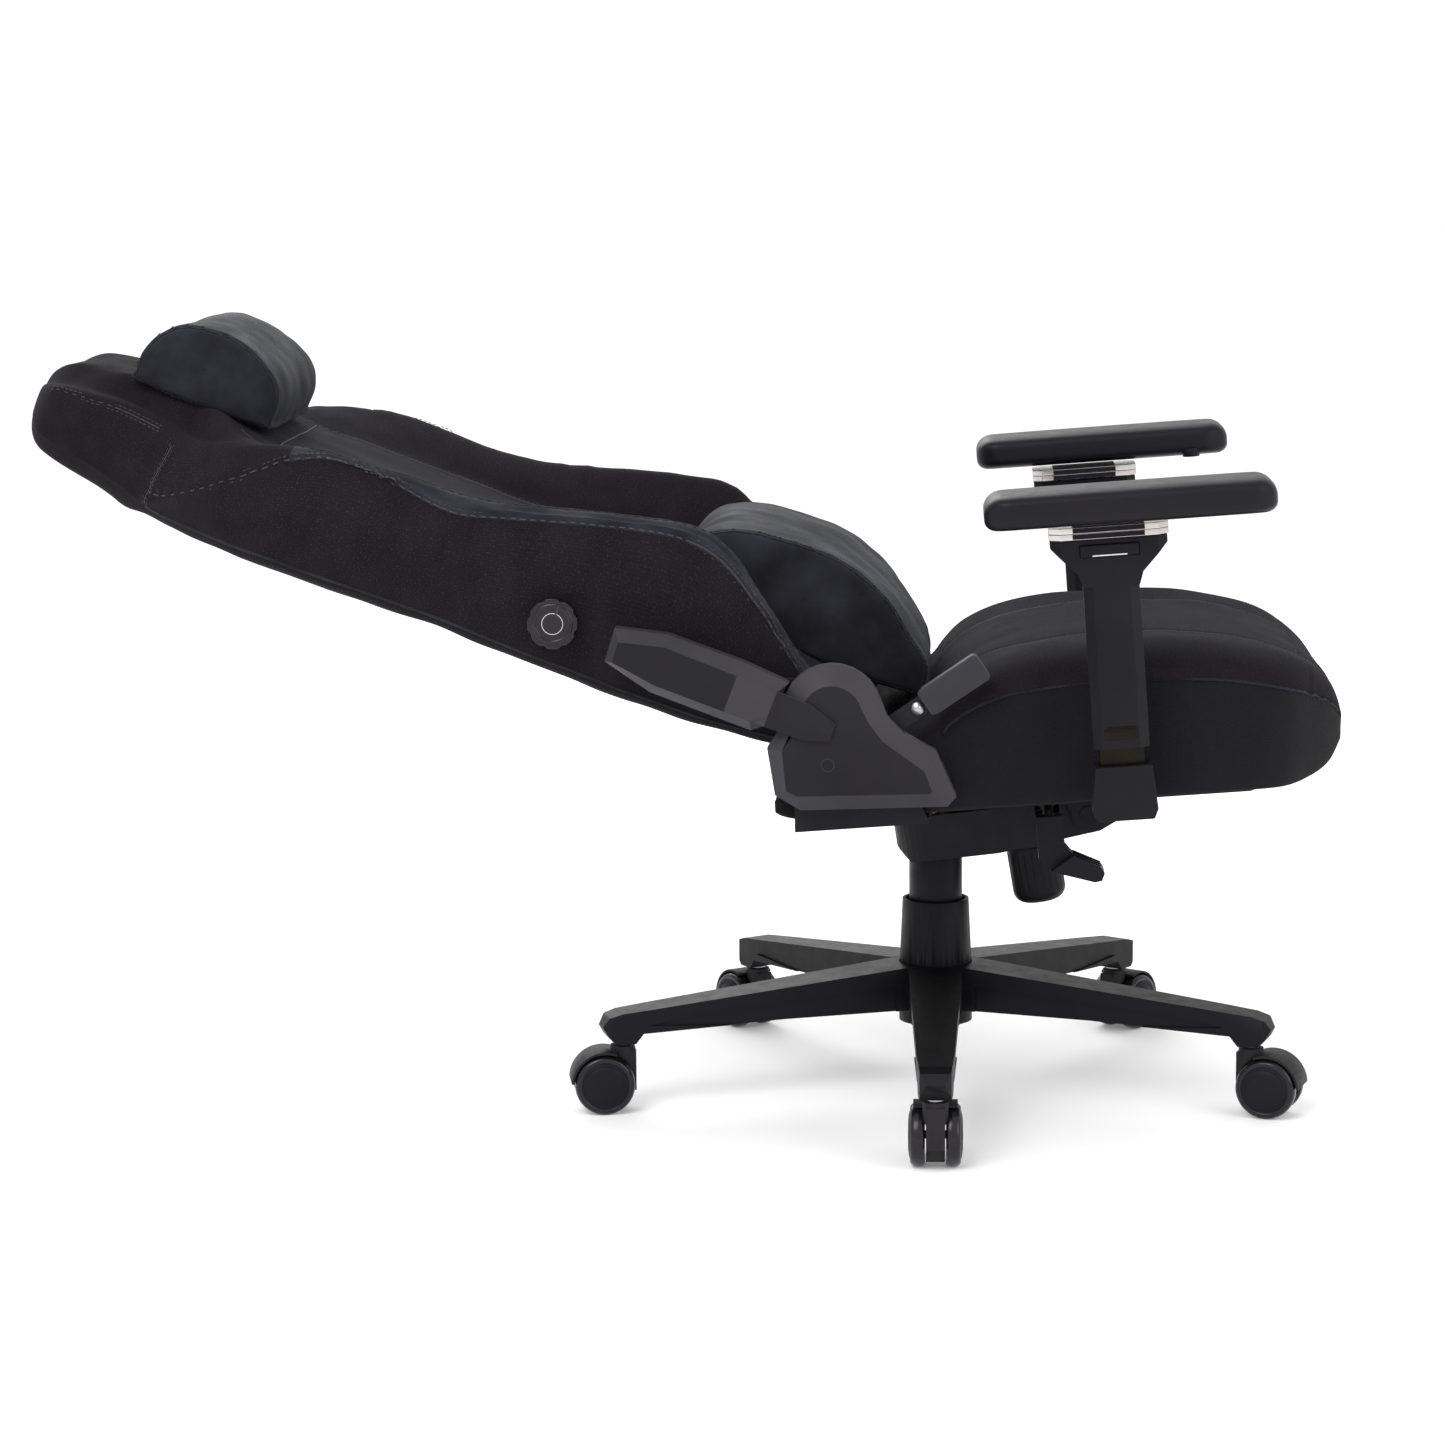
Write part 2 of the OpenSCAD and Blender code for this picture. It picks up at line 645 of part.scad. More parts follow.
module seat_board() {
    color("#6a5238") in_seat() difference() {
        translate([0, 0, board_z]) linear_extrude(board_t) polygon(concat(
            [[board_back, -board_half], [board_front - 40, -board_half], [board_front, -board_half + 60],
                [board_front, board_half - 60], [board_front - 40, board_half], [board_back, board_half]]));
        board_holes();
    }
}

// Side view of the seat cushion
seat_side = [[-150, board_top + 2], [-128, board_top], [seat_front - 66, board_top], [seat_front - 30, 52],
    [seat_front - 6, 72], [seat_front, 92], [seat_front - 8, 112], [seat_front - 40, 142],
    [seat_front - 88, 166], [seat_front - 150, seat_crown - 6], [170, seat_crown], [80, seat_crown - 1],
    [32, seat_crown - 12], [18, 152], [10, 126], [-6, 108], [-56, 90], [-84, 56], [-150, 56]];
seat_plan = [[-160, -seat_half], [seat_front - 110, -seat_half], [seat_front - 60, -seat_half + 14],
    [seat_front - 22, -seat_half + 80], [seat_front + 1, -seat_half + 170], [seat_front + 1,
        seat_half - 170],
    [seat_front - 22, seat_half - 80], [seat_front - 60, seat_half - 14], [seat_front - 110, seat_half],
    [-160, seat_half]];

module seat_cushion() {
    color("#302c36") in_seat() intersection() {
        along_y(-seat_half, seat_half) polygon(seat_side);
        linear_extrude(seat_crown + 20) polygon(seat_plan);
    }
}

// ---- recliner -----------------------------------------------------------------------------

lower_plate_in = seat_half + 2;
lower_plate_out = lower_plate_in + plate_t;
upper_plate_in = lower_plate_out + 0.4;
upper_plate_out = upper_plate_in + plate_t;
lever_bar_in = upper_plate_out + 1;
lever_bar_out = lever_bar_in + 4;
cover_in = lever_bar_out + 1.5;
cover_step = cover_in + 12;
cover_face = cover_in + 24;
tip_face = cover_face + 5;
lever_pivot = [-65, 99];
lever_pin_d = 10;
cover_arc_r = 48;
screw_boss = [-95, 88];
cover_wall = 2.5;
pivot = [pivot_x, pivot_z];

module recliner_plates() {
    outline = concat([[pivot_x - 44, plate_z], [pivot_x + 84, plate_z], [pivot_x + 70, board_z + 30],
        [pivot_x + 40, pivot_z - 20]], arc(pivot, 26, 10, 170, 10), [[pivot_x - 40, pivot_z - 50]]);
    color("#2c2d30") in_seat() for (s = [-1, 1]) on_side(s) difference() {
        union() {
            along_y(-lower_plate_out, -lower_plate_in) polygon(outline);
            // flange bolted under the seat board
            translate([pivot_x - 44, -lower_plate_in - 1, plate_z])
                cube([128, lower_plate_in - board_half + 34, plate_h]);
        }
        mirror([0, 1, 0]) board_holes();
        board_holes();
        bar_y(hinge_pin_d + 2 * press_gap, pivot_x, pivot_z, -lower_plate_out - 1, -lower_plate_in + 1);
        bar_y(lever_pin_d + 2 * press_gap, lever_pivot[0], lever_pivot[1], -lower_plate_out - 1,
            -lower_plate_in + 1);
    }
}

module recliner_pins() {
    color("#9c9ea2") in_seat() {
        for (s = [-1, 1]) on_side(s)
            bar_y(hinge_pin_d, pivot_x, pivot_z, -upper_plate_out - 0.5, -lower_plate_in);
        bar_y(lever_pin_d, lever_pivot[0], lever_pivot[1], -lever_bar_out - 0.5, -lower_plate_in);
    }
}

// Outline of the lower side cover and of its raised face, point for point
cover_outline = concat(arc(pivot, cover_arc_r, 188, 12, 14),
    [[-36, 128], [-22, 112], [-6, 101], [7, 93], [23, 48], [14, 39], [-124, 45], [-147, 61], [-151, 106]]);
cover_face_outline = concat(arc(pivot, cover_arc_r - 19, 188, 12, 14),
    [[-53, 124], [-42, 107], [-24, 92], [-5, 76], [1, 56], [-2, 54], [-126, 60], [-136, 66], [-137, 104]]);
cover_hollow = concat(arc(pivot, cover_arc_r - 4, 188, 12, 12),
    [[-40, 124], [-27, 109], [-10, 98], [3, 88], [17, 50], [12, 44], [-122, 50], [-142, 64], [-146, 104]]);

module lower_covers() {
    rim_in = lower_plate_out + 0.4;
    color("#3a3a3f") in_seat() for (side = [-1, 1]) on_side(side) {
        mirror([0, 1, 0]) difference() {
            bevelled_plate(cover_outline, cover_face_outline, cover_in, cover_step, cover_face);
            along_y(cover_in - 1, cover_step - cover_wall) polygon(cover_hollow);
        }
        // deeper rim below the lever, reaching in to the steel plate
        difference() {
            along_y(-cover_in - 1, -rim_in) polygon(cover_outline);
            along_y(-cover_in - 2, 0) polygon(cover_hollow);
            translate([-300, -400, cover_rim_z]) cube([600, 400, 200]);
        }
        bar_y(12, screw_boss[0], screw_boss[1], -cover_step - 1, -lower_plate_out - 0.1);
    }
}

cover_rim_z = 78;

// Distance of the bar's fixing hole from the lever's pivot
lever_hole_at = 66;

module recline_lever_bar() {
    dir = 30;
    color("#2a2a2d") in_seat() difference() {
        along_y(-lever_bar_out, -lever_bar_in) translate(lever_pivot) rotate(dir) union() {
            circle(d = 26);
            translate([0, -9]) square([104, 18]);
        }
        bar_y(lever_pin_d + 2 * run_gap, lever_pivot[0], lever_pivot[1], -lever_bar_out - 1, 0);
        bar_y(6 + 2 * press_gap, lever_pivot[0] + lever_hole_at * cos(dir),
            lever_pivot[1] + lever_hole_at * sin(dir),
            -lever_bar_out - 1, 0);
    }
}

module recline_lever_grip() {
    dir = 30;
    color("#4a4a50") in_seat() difference() {
        along_y(-lever_bar_out - 7, -lever_bar_in + 4) translate(lever_pivot) rotate(dir)
            polygon([[74, -12], [74, 12], [80, 14], [137, 14], [140, 11], [140, -12], [137, -14], [80,
                -14]]);
        along_y(-lever_bar_out - 0.1, -lever_bar_in + 0.1) translate(lever_pivot) rotate(dir)
            translate([70, -9.1]) square([34.1, 18.2]);
    }
}

// ---- back ---------------------------------------------------------------------------------

frame_y = 184;
frame_x = -38;
frame_tube_d = 22;
frame_top = 640;
frame_low = 10;
head_y = 92;
head_top = back_len - 60;
back_bolt_z = [92, 178];
back_bolt_x = -14;
lumbar_x = -17;
lumbar_z = 276;
shaft_d = 10;
front_x = 22;
rear_x = -67;
head_front_x = 37;
lumbar_cavity = [[-32, 4], [-128, 128], [140, 340]];

module back_tubes(d) {
    for (s = [-1, 1]) {
        translate([frame_x, s * frame_y, frame_low]) cylinder(d = d, h = frame_top - frame_low);
        translate([frame_x, s * head_y, frame_top]) cylinder(d = d, h = head_top - frame_top);
    }
    bar_y(d, frame_x, frame_low + 20, -frame_y, frame_y);
    bar_y(d, frame_x, frame_top, -frame_y, frame_y);
    bar_y(d, frame_x, head_top, -head_y, head_y);
    for (s = [-1, 1]) {
        translate([frame_x, s * frame_y, frame_low]) sphere(d = d);
        translate([frame_x, s * frame_y, frame_top]) sphere(d = d);
        translate([frame_x, s * head_y, head_top]) sphere(d = d);
    }
    for (s = [-1, 1], z = back_bolt_z)
        bar_x(d, s * frame_y, z, frame_x, back_bolt_x + 10);
}

module back_frame() {
    color("#2c2c2f") in_back() difference() {
        back_tubes(frame_tube_d);
        for (s = [-1, 1], z = back_bolt_z)
            bar_y(bolt_d + 2 * press_gap, back_bolt_x, z, s > 0 ? frame_y - 20 : -hip_half_w - 60,
                s > 0 ? hip_half_w + 60 : -frame_y + 20);
    }
}

module back_arm_plates() {
    color("#303134") in_back() for (s = [-1, 1]) on_side(s) difference() {
        along_y(-upper_plate_out, -upper_plate_in) polygon(concat(arc([0, 0], 30, 180, 360, 12),
            [[12, 60], [6, 200], [-8, 210], [-26, 210], [-34, 200], [-34, 60]]));
        bar_y(hinge_pin_d + 2 * run_gap, 0, 0, -upper_plate_out - 1, -upper_plate_in + 1);
        for (z = back_bolt_z) bar_y(bolt_d + 2 * press_gap, back_bolt_x, z, -upper_plate_out - 1,
            -upper_plate_in + 1);
    }
}

module back_bolts() {
    color("#77797c") in_back() for (s = [-1, 1], z = back_bolt_z) on_side(s) {
        bar_y(bolt_d, back_bolt_x, z, -upper_plate_out - 0.5, -frame_y + 14);
        bar_y(bolt_d + 6, back_bolt_x, z, -upper_plate_out - 4, -upper_plate_out - 0.05);
    }
}

// Side view of the back's middle and of its wings, forwards against length
back_core = [[rear_x + 12, -28], [front_x - 14, -28], [front_x, -8], [front_x, 560], [head_front_x, 610],
    [head_front_x, back_len - 74], [head_front_x - 8, back_len - 36], [12, back_len - 10], [-14, back_len],
    [-40, back_len - 6], [-52, back_len - 32], [-62, back_len - 90], [-70, 700], [rear_x, 640],
    [rear_x, 200], [rear_x + 4, 60]];
wing_side = [[rear_x + 14, 0], [12, 14], [46, 62], [80, 104], [108, 140], [120, 176], [112, 222], [92, 290],
    [72, 362], [63, 430], [66, 490], [60, 545], [48, 585], [30, 628], [0, 660], [rear_x + 4, 690],
    [rear_x + 2, 200]];
// Half front view of the back, half width against length
back_half_front = [[hip_half_w - 30, -28], [hip_half_w - 12, 40], [hip_half_w, 150], [hip_half_w - 4, 260],
    [hip_half_w - 8, 380], [hip_half_w, 450], [shoulder_half_w, 530], [shoulder_half_w - 4, 590],
    [shoulder_half_w - 34, 640], [head_half_w + 22, 690], [head_half_w + 4, 740], [head_half_w,
        back_len - 60],
    [head_half_w - 22, back_len - 12], [head_half_w - 46, back_len]];
wing_in = 168;

module back_cushion() {
    color("#302c36") in_back() difference() {
        intersection() {
            union() {
                along_y(-shoulder_half_w - 1, shoulder_half_w + 1) polygon(back_core);
                for (s = [-1, 1]) along_y(s > 0 ? wing_in : -shoulder_half_w - 1,
                    s > 0 ? shoulder_half_w + 1 : -wing_in)
                    polygon(wing_side);
            }
            along_x(-120, 160) polygon(concat(back_half_front, mirrored(back_half_front)));
        }
        back_tubes(frame_tube_d + 0.2);
        for (s = [-1, 1], z = back_bolt_z)
            bar_y(bolt_d + 1, back_bolt_x, z, s > 0 ? frame_y - 16 : -hip_half_w - 10,
                s > 0 ? hip_half_w + 10 : -frame_y + 16);
        translate([lumbar_cavity[0][0], lumbar_cavity[1][0], lumbar_cavity[2][0]])
            cube([lumbar_cavity[0][1] - lumbar_cavity[0][0], lumbar_cavity[1][1] - lumbar_cavity[1][0],
                lumbar_cavity[2][1] - lumbar_cavity[2][0]]);
        bar_y(shaft_d + 1, lumbar_x, lumbar_z, -hip_half_w - 10, lumbar_cavity[1][0] + 1);
    }
}

module lumbar_knob() {
    lobes = 8;
    out = -hip_half_w - 17;
    color("#17171a") in_back() {
        difference() {
            bar_y(lumbar_knob_d, lumbar_x, lumbar_z, out, -hip_half_w - 1);
            for (i = [0:lobes - 1])
                bar_y(12, lumbar_x + (lumbar_knob_d / 2 + 4.6) * cos(360 * i / lobes),
                    lumbar_z + (lumbar_knob_d / 2 + 4.6) * sin(360 * i / lobes), out - 1, -hip_half_w);
        }
        bar_y(shaft_d, lumbar_x, lumbar_z, -hip_half_w - 2, lumbar_cavity[1][0] + 4);
    }
}

module lumbar_plate() {
    color("#b0b0ac") in_back() translate([lumbar_cavity[0][0] + 2, lumbar_cavity[1][0] + 12,
        lumbar_cavity[2][0] + 8])
        cube([4, lumbar_cavity[1][1] - lumbar_cavity[1][0] - 24,
            lumbar_cavity[2][1] - lumbar_cavity[2][0] - 16]);
}

// Outline of the upper side cover and of its raised face, forwards against length
cover_gap_r = cover_arc_r + 2;
upper_outline = concat(arc([0, 0], cover_gap_r, 74, 118, 6),
    [[-41, 66], [-41, 167], [-29, 217], [4, 219], [16, 170], [17, 94]]);
upper_face = concat(arc([0, 0], cover_gap_r + 6, 86, 110, 6),
    [[-31, 70], [-31, 165], [-25, 210], [-5, 211], [6, 169], [5, 96]]);
upper_hollow = concat(arc([0, 0], cover_gap_r + 3, 79, 114, 6),
    [[-37, 68], [-37, 166], [-27, 212], [2, 213], [12, 168], [13, 94]]);
tip_outline = [[-31, 66], [5, 66], [4, 22], [-5, -6], [-22, -6], [-30, 18]];

module upper_covers() {
    rim_in = upper_plate_out + 0.3;
    color("#3a3a3f") in_back() for (side = [-1, 1]) on_side(side) {
        mirror([0, 1, 0]) difference() {
            bevelled_plate(upper_outline, upper_face, rim_in, cover_step, tip_face);
            along_y(rim_in - 1, cover_step - cover_wall) polygon(upper_hollow);
        }
        // thin tongue that runs over the lower cover to the hinge's centre
        along_y(-tip_face + 0.7, -cover_face - 0.6) polygon(tip_outline);
        bar_y(10, back_bolt_x, 140, -cover_step - 1, -upper_plate_out - 0.1);
    }
}

// ---- pillows ------------------------------------------------------------------------------

lumbar_profile = [[front_x + 0.5, -70], [38, -80], [58, -76], [78, -48], [104, -14], [122, 30], [125,
    80], [119, 140],
    [104, 172], [80, 186], [40, 188], [front_x + 0.5, 178]];
head_profile = [[head_front_x + 0.5, 614], [46, 606], [74, 606], [98, 624], [113, 658], [116, 690],
    [111, 718], [98, 736],
    [72, 751], [46, 752], [head_front_x + 0.5, 744]];

module lumbar_pillow() {
    color("#1e1d24") in_back() along_y(-lumbar_pillow_w / 2, lumbar_pillow_w / 2) polygon(lumbar_profile);
}

module head_pillow() {
    color("#1e1d24") in_back() along_y(-head_pillow_w / 2, head_pillow_w / 2) polygon(head_profile);
}

// ---- armrests -----------------------------------------------------------------------------

post_t = 22;
post_wall = 2.5;
post_top = 232;
table_pin_d = 8;
foot_top = 72;
foot_low = 21;
sleeve_low = foot_top + sleeve_gap;
sleeve_top = 284;
sleeve_w = post_w + 11;
sleeve_t = post_t + 13;
bracket_t = 6;
bracket_z = board_z - bracket_t;
table_z = sleeve_top + 2;
slider_z = table_z + 5.7;
pad_z = slider_z + 9;
button_z = 274;

module arm_feet() {
    side_view = [[-26, foot_top], [27, foot_top], [30, 30], [26, foot_low], [-26, foot_low], [-31, 30]];
    color("#262629") in_seat() for (side = [-1, 1]) on_side(side) difference() {
        translate([arm_x, 0, 0]) along_y(-arm_y - 22, -arm_y + 22) polygon(side_view);
        // room for the post and for the bracket's bend
        translate([arm_x - post_w / 2 - press_gap, -arm_y - post_t / 2 - press_gap, bracket_z - 0.5])
            cube([post_w + 2 * press_gap, post_t + 2 * press_gap, foot_top]);
        translate([arm_x - post_w / 2 - press_gap, -arm_y, bracket_z - press_gap])
            cube([post_w + 2 * press_gap, 40, bracket_t + 2 * press_gap]);
    }
}

module arm_posts() {
    color("#3a3a3c") in_seat() for (side = [-1, 1]) on_side(side) difference() {
        union() {
            translate([arm_x - post_w / 2, -arm_y - post_t / 2, bracket_z]) cube([post_w, post_t,
                post_top - bracket_z]);
            // flat bracket under the seat board
            translate([arm_x - post_w / 2, -arm_y, bracket_z]) cube([post_w, arm_y - bracket_end, bracket_t]);
        }
        translate([arm_x - post_w / 2 + post_wall, -arm_y - post_t / 2 + post_wall, bracket_z + bracket_t])
            cube([post_w - 2 * post_wall, post_t - 2 * post_wall, post_top]);
        board_holes();
    }
}

// Half plan of the sleeve: a bar with chamfered corners
function sleeve_plan(w, t, c) = [[-w / 2, -t / 2 + c], [-w / 2 + c, -t / 2], [w / 2 - c, -t / 2],
    [w / 2, -t / 2 + c],
    [w / 2, t / 2 - c], [w / 2 - c, t / 2], [-w / 2 + c, t / 2], [-w / 2, t / 2 - c]];

module arm_sleeve(side) {
    flare = 54;
    color("#232326") in_seat() on_side(side) translate([arm_x, -arm_y, 0]) difference() {
        union() {
            translate([0, 0, sleeve_low]) linear_extrude(sleeve_top - sleeve_low - 20)
                polygon(sleeve_plan(sleeve_w, sleeve_t, 9));
            // flared head that carries the pad
            intersection() {
                along_y(-sleeve_t / 2, sleeve_t / 2) polygon([[-sleeve_w / 2, 240], [-sleeve_w / 2 - 4,
                    252],
                    [-flare, sleeve_top - 7], [-flare, sleeve_top], [flare, sleeve_top], [flare,
                        sleeve_top - 7],
                    [sleeve_w / 2 + 4, 252], [sleeve_w / 2, 240]]);
                translate([0, 0, 200]) linear_extrude(100) polygon(sleeve_plan(2 * flare, sleeve_t, 9));
            }
        }
        translate([-post_w / 2 - loose_gap, -post_t / 2 - loose_gap, sleeve_low - 1])
            cube([post_w + 2 * loose_gap, post_t + 2 * loose_gap, post_top + 16 - sleeve_low]);
        // slot for the height button
        translate([-27.4, -sleeve_t / 2 - 1, button_z - 6.4]) cube([54.8, 10, 11.8]);
        translate([0, 0, post_top + 10]) cylinder(d = table_pin_d + 2 * run_gap, h = 100);
    }
}

module arm_button(side) {
    color("#1a1a1c") in_seat() on_side(side) translate([arm_x, -arm_y, 0])
        translate([-27, -sleeve_t / 2 - 2.5, button_z - 6]) cube([54, 7, 11]);
}

module arm_turntable(side) {
    color("#b4b4b4") in_seat() on_side(side) translate([arm_x, -arm_y, 0]) {
        translate([0, 0, table_z]) linear_extrude(5.5) polygon(sleeve_plan(110, 60, 10));
        translate([0, 0, sleeve_top - 12]) cylinder(d = table_pin_d, h = 14.5);
    }
}

module arm_slider(side) {
    color("#b4b4b4") in_seat() on_side(side) translate([arm_x, -arm_y, 0])
        translate([0, 0, slider_z]) linear_extrude(5.5) polygon(sleeve_plan(110, 60, 10));
}

pad_x = 66;
pad_y = -arm_y - 21;
pad_button_x = pad_x + pad_len - 40;
pad_button_d = 18;

module arm_pad(side) {
    corner = 18;
    color("#1d1d20") in_seat() on_side(side) translate([0, pad_y, 0]) difference() {
        union() {
            hull() for (x = [pad_x + corner, pad_x + pad_len - corner], y = [-pad_w / 2 + corner,
                pad_w / 2 - corner])
                translate([x, y, pad_z]) {
                    cylinder(r = corner - 5, h = pad_t, $fn = 32);
                    translate([0, 0, 7]) cylinder(r = corner, h = pad_t - 15, $fn = 32);
                }
            // runner between the pad and the slider
            translate([arm_x - 50, -1, slider_z + 5.7]) cube([100, 44, pad_z - slider_z - 5.4]);
        }
        // pocket for the release button on the inner side
        translate([pad_button_x - pad_button_d / 2 - 0.5, pad_w / 2 - 12, pad_z - 1])
            cube([pad_button_d + 1, 20, 11]);
    }
}

module arm_pad_button(side) {
    color("#2b2b2f") in_seat() on_side(side)
        translate([pad_button_x, pad_y + pad_w / 2 - 5.5, pad_z]) intersection() {
            cylinder(d = pad_button_d, h = 9);
            translate([-pad_button_d, -2.5, 0]) cube([2 * pad_button_d, 30, 20]);
        }
}

// ---- nodes --------------------------------------------------------------------------------

base_star();
column_tube();
guide_bush();
thrust_bearing();
lower_shroud();
caster_stems();
for (i = [0:CASTERS - 1]) {
    caster_hood(i);
    caster_wheels(i);
}
piston_rod();
gas_cylinder();
valve_pin();
upper_shroud();
mechanism_housing();
tilt_shaft();
tension_spring();
tension_knob();
spring_yoke();
lever_bush();
lever_rod();
lever_handle();
seat_plate();
seat_bolts();
seat_board();
seat_cushion();
recliner_plates();
recliner_pins();
lower_covers();
recline_lever_bar();
recline_lever_grip();
back_frame();
back_arm_plates();
back_bolts();
back_cushion();
upper_covers();
lumbar_knob();
lumbar_plate();
lumbar_pillow();
head_pillow();
arm_feet();
arm_posts();
for (side = [-1, 1]) {
    name = side < 0 ? "right" : "left";
    arm_sleeve(side);
    arm_button(side);
    arm_turntable(side);
    arm_slider(side);
    arm_pad(side);
    arm_pad_button(side);
}
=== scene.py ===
"""Reclining gaming chair: upholstery, trims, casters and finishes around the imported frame."""
import json
import math

import bmesh
import bpy
from mathutils import Matrix, Vector, noise
from mathutils.bvhtree import BVHTree
from mathutils.kdtree import KDTree


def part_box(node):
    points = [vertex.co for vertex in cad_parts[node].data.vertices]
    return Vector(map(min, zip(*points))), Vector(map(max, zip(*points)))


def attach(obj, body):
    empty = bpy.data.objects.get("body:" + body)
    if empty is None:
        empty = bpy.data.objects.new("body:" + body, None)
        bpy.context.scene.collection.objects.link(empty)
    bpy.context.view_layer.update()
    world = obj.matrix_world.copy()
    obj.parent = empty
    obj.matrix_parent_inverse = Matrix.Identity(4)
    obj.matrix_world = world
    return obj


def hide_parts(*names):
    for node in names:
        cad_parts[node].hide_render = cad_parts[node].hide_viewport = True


bl_info = {
    "name": "Gaming chair",
    "version": (1, 0, 0),
    "blender": (4, 5, 0),
    "location": "3D View > Sidebar > Chair",
    "description": "Builds the upholstery, trims and finishes of a reclining gaming chair",
    "category": "Object",
}

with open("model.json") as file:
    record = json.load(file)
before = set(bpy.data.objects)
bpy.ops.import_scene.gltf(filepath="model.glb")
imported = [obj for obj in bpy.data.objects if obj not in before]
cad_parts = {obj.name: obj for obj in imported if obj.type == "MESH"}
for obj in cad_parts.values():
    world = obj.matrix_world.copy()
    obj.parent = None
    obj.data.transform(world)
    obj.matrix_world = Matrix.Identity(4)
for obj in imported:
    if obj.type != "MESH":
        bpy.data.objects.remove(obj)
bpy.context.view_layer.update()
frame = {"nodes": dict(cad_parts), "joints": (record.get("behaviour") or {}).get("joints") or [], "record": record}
JOINTS = {joint["name"]: joint for joint in frame["joints"]}
MM = 0.001

# ---- places taken from the frame ----------------------------------------------------------

BACK_FORWARD = Vector(JOINTS["lumbar_push"]["axis"])
BACK_UP = Vector(JOINTS["lumbar_pillow_slide"]["axis"])
BACK_PIVOT = Vector(JOINTS["recline"]["pos_m"])
SEAT_UP = Vector(JOINTS["arm_right_height"]["axis"])
SEAT_FORWARD = Vector(JOINTS["arm_right_fore_aft"]["axis"])
SEAT_ORIGIN = Vector((0.0, 0.0, 0.3))
LEFT = Vector((0.0, 1.0, 0.0))


def on_back(forward, left, up):
    """A point given in millimetres along the reclined back, in the row frame."""
    return BACK_PIVOT + (BACK_FORWARD * forward + LEFT * left + BACK_UP * up) * MM


def on_seat(forward, left, up):
    """A point given in millimetres along the sloping seat, in the row frame."""
    return SEAT_ORIGIN + (SEAT_FORWARD * forward + LEFT * left + SEAT_UP * up) * MM


# ---- curves -------------------------------------------------------------------------------


def smooth_through(stations):
    """A smooth function through (place, value) pairs, level past both ends."""
    places = [s[0] for s in stations]
    values = [s[1] for s in stations]
    count = len(stations)
    slopes = []
    for i in range(count):
        a, b = max(i - 1, 0), min(i + 1, count - 1)
        slopes.append((values[b] - values[a]) / (places[b] - places[a]))
        if 0 < i < count - 1 and (values[i] - values[i - 1]) * (values[i + 1] - values[i]) <= 0:
            slopes[i] *= 0.25

    def value_at(place):
        if place <= places[0]:
            return values[0]
        if place >= places[-1]:
            return values[-1]
        i = max(k for k in range(count - 1) if places[k] <= place)
        span = places[i + 1] - places[i]
        t = (place - places[i]) / span
        start = (1 + 2 * t) * (1 - t) ** 2 * values[i] + t * (1 - t) ** 2 * span * slopes[i]
        end = t * t * (3 - 2 * t) * values[i + 1] + t * t * (t - 1) * span * slopes[i + 1]
        return start + end

    return value_at


# ---- mesh helpers -------------------------------------------------------------------------


def as_piece(name, bm, body, slot, materials, smooth=True):
    """Writes a bmesh into a new object that rides on a body."""
    mesh = bpy.data.meshes.new(name)
    bm.to_mesh(mesh)
    bm.free()
    for polygon in mesh.polygons:
        polygon.use_smooth = smooth
    piece = bpy.data.objects.new(name, mesh)
    bpy.context.scene.collection.objects.link(piece)
    for material in materials:
        mesh.materials.append(material)
    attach(piece, body)
    return piece


def loft(shape, around, along, zones=None, cloth_size=(1.0, 1.0)):
    """A closed skin: shape(u, w) gives a point, u runs round it and w from end to end."""
    bm = bmesh.new()
    bmesh.ops.create_grid(bm, x_segments=around, y_segments=along, size=1.0)
    cloth = bm.loops.layers.uv.new("Cloth")
    for face in bm.faces:
        middle = face.calc_center_median()
        face.material_index = zones((middle.x + 1) / 2, (middle.y + 1) / 2) if zones else 0
        for corner in face.loops:
            place = corner.vert.co
            corner[cloth].uv = ((place.x + 1) / 2 * cloth_size[0], (place.y + 1) / 2 * cloth_size[1])
    for vert in bm.verts:
        vert.co = shape((vert.co.x + 1) / 2, (vert.co.y + 1) / 2)
    bmesh.ops.remove_doubles(bm, verts=bm.verts, dist=1e-5)
    bmesh.ops.holes_fill(bm, edges=[e for e in bm.edges if e.is_boundary], sides=0)
    bmesh.ops.triangulate(bm, faces=[f for f in bm.faces if len(f.verts) > 4])
    bmesh.ops.recalc_face_normals(bm, faces=bm.faces)
    return bm


def seam_tree(lines):
    """A search tree over every point of the lines."""
    points = [p for line in lines for p in line]
    tree = KDTree(len(points))
    for i, point in enumerate(points):
        tree.insert(point, i)
    tree.balance()
    return tree


def crease(bm, amount, wavelength, near=None, reach=0.03):
    """Lays soft folds into cloth, everywhere or only near the given seam lines."""
    tree = seam_tree(near) if near else None
    bm.normal_update()
    for vert in bm.verts:
        share = max(0.0, 1 - tree.find(vert.co)[2] / reach) if tree else 1.0
        if share > 0:
            vert.co += vert.normal * amount * share * noise.noise(vert.co / wavelength)


def as_worker(bm):
    """A passing object that holds the bmesh, for modifiers to work on."""
    mesh = bpy.data.meshes.new("working")
    bm.to_mesh(mesh)
    bm.free()
    worker = bpy.data.objects.new("working", mesh)
    bpy.context.scene.collection.objects.link(worker)
    return worker


def take_evaluated(worker):
    """The worker's mesh with its modifiers applied, as a bmesh; the worker is removed."""
    depsgraph = bpy.context.evaluated_depsgraph_get()
    depsgraph.update()
    bm = bmesh.new()
    evaluated = worker.evaluated_get(depsgraph)
    mesh = evaluated.to_mesh()
    bm.from_mesh(mesh)
    evaluated.to_mesh_clear()
    old = worker.data
    bpy.data.objects.remove(worker)
    bpy.data.meshes.remove(old)
    return bm


def subdivide(bm):
    """One smooth subdivision."""
    worker = as_worker(bm)
    smoother = worker.modifiers.new("smooth", "SUBSURF")
    smoother.levels = smoother.render_levels = 1
    return take_evaluated(worker)


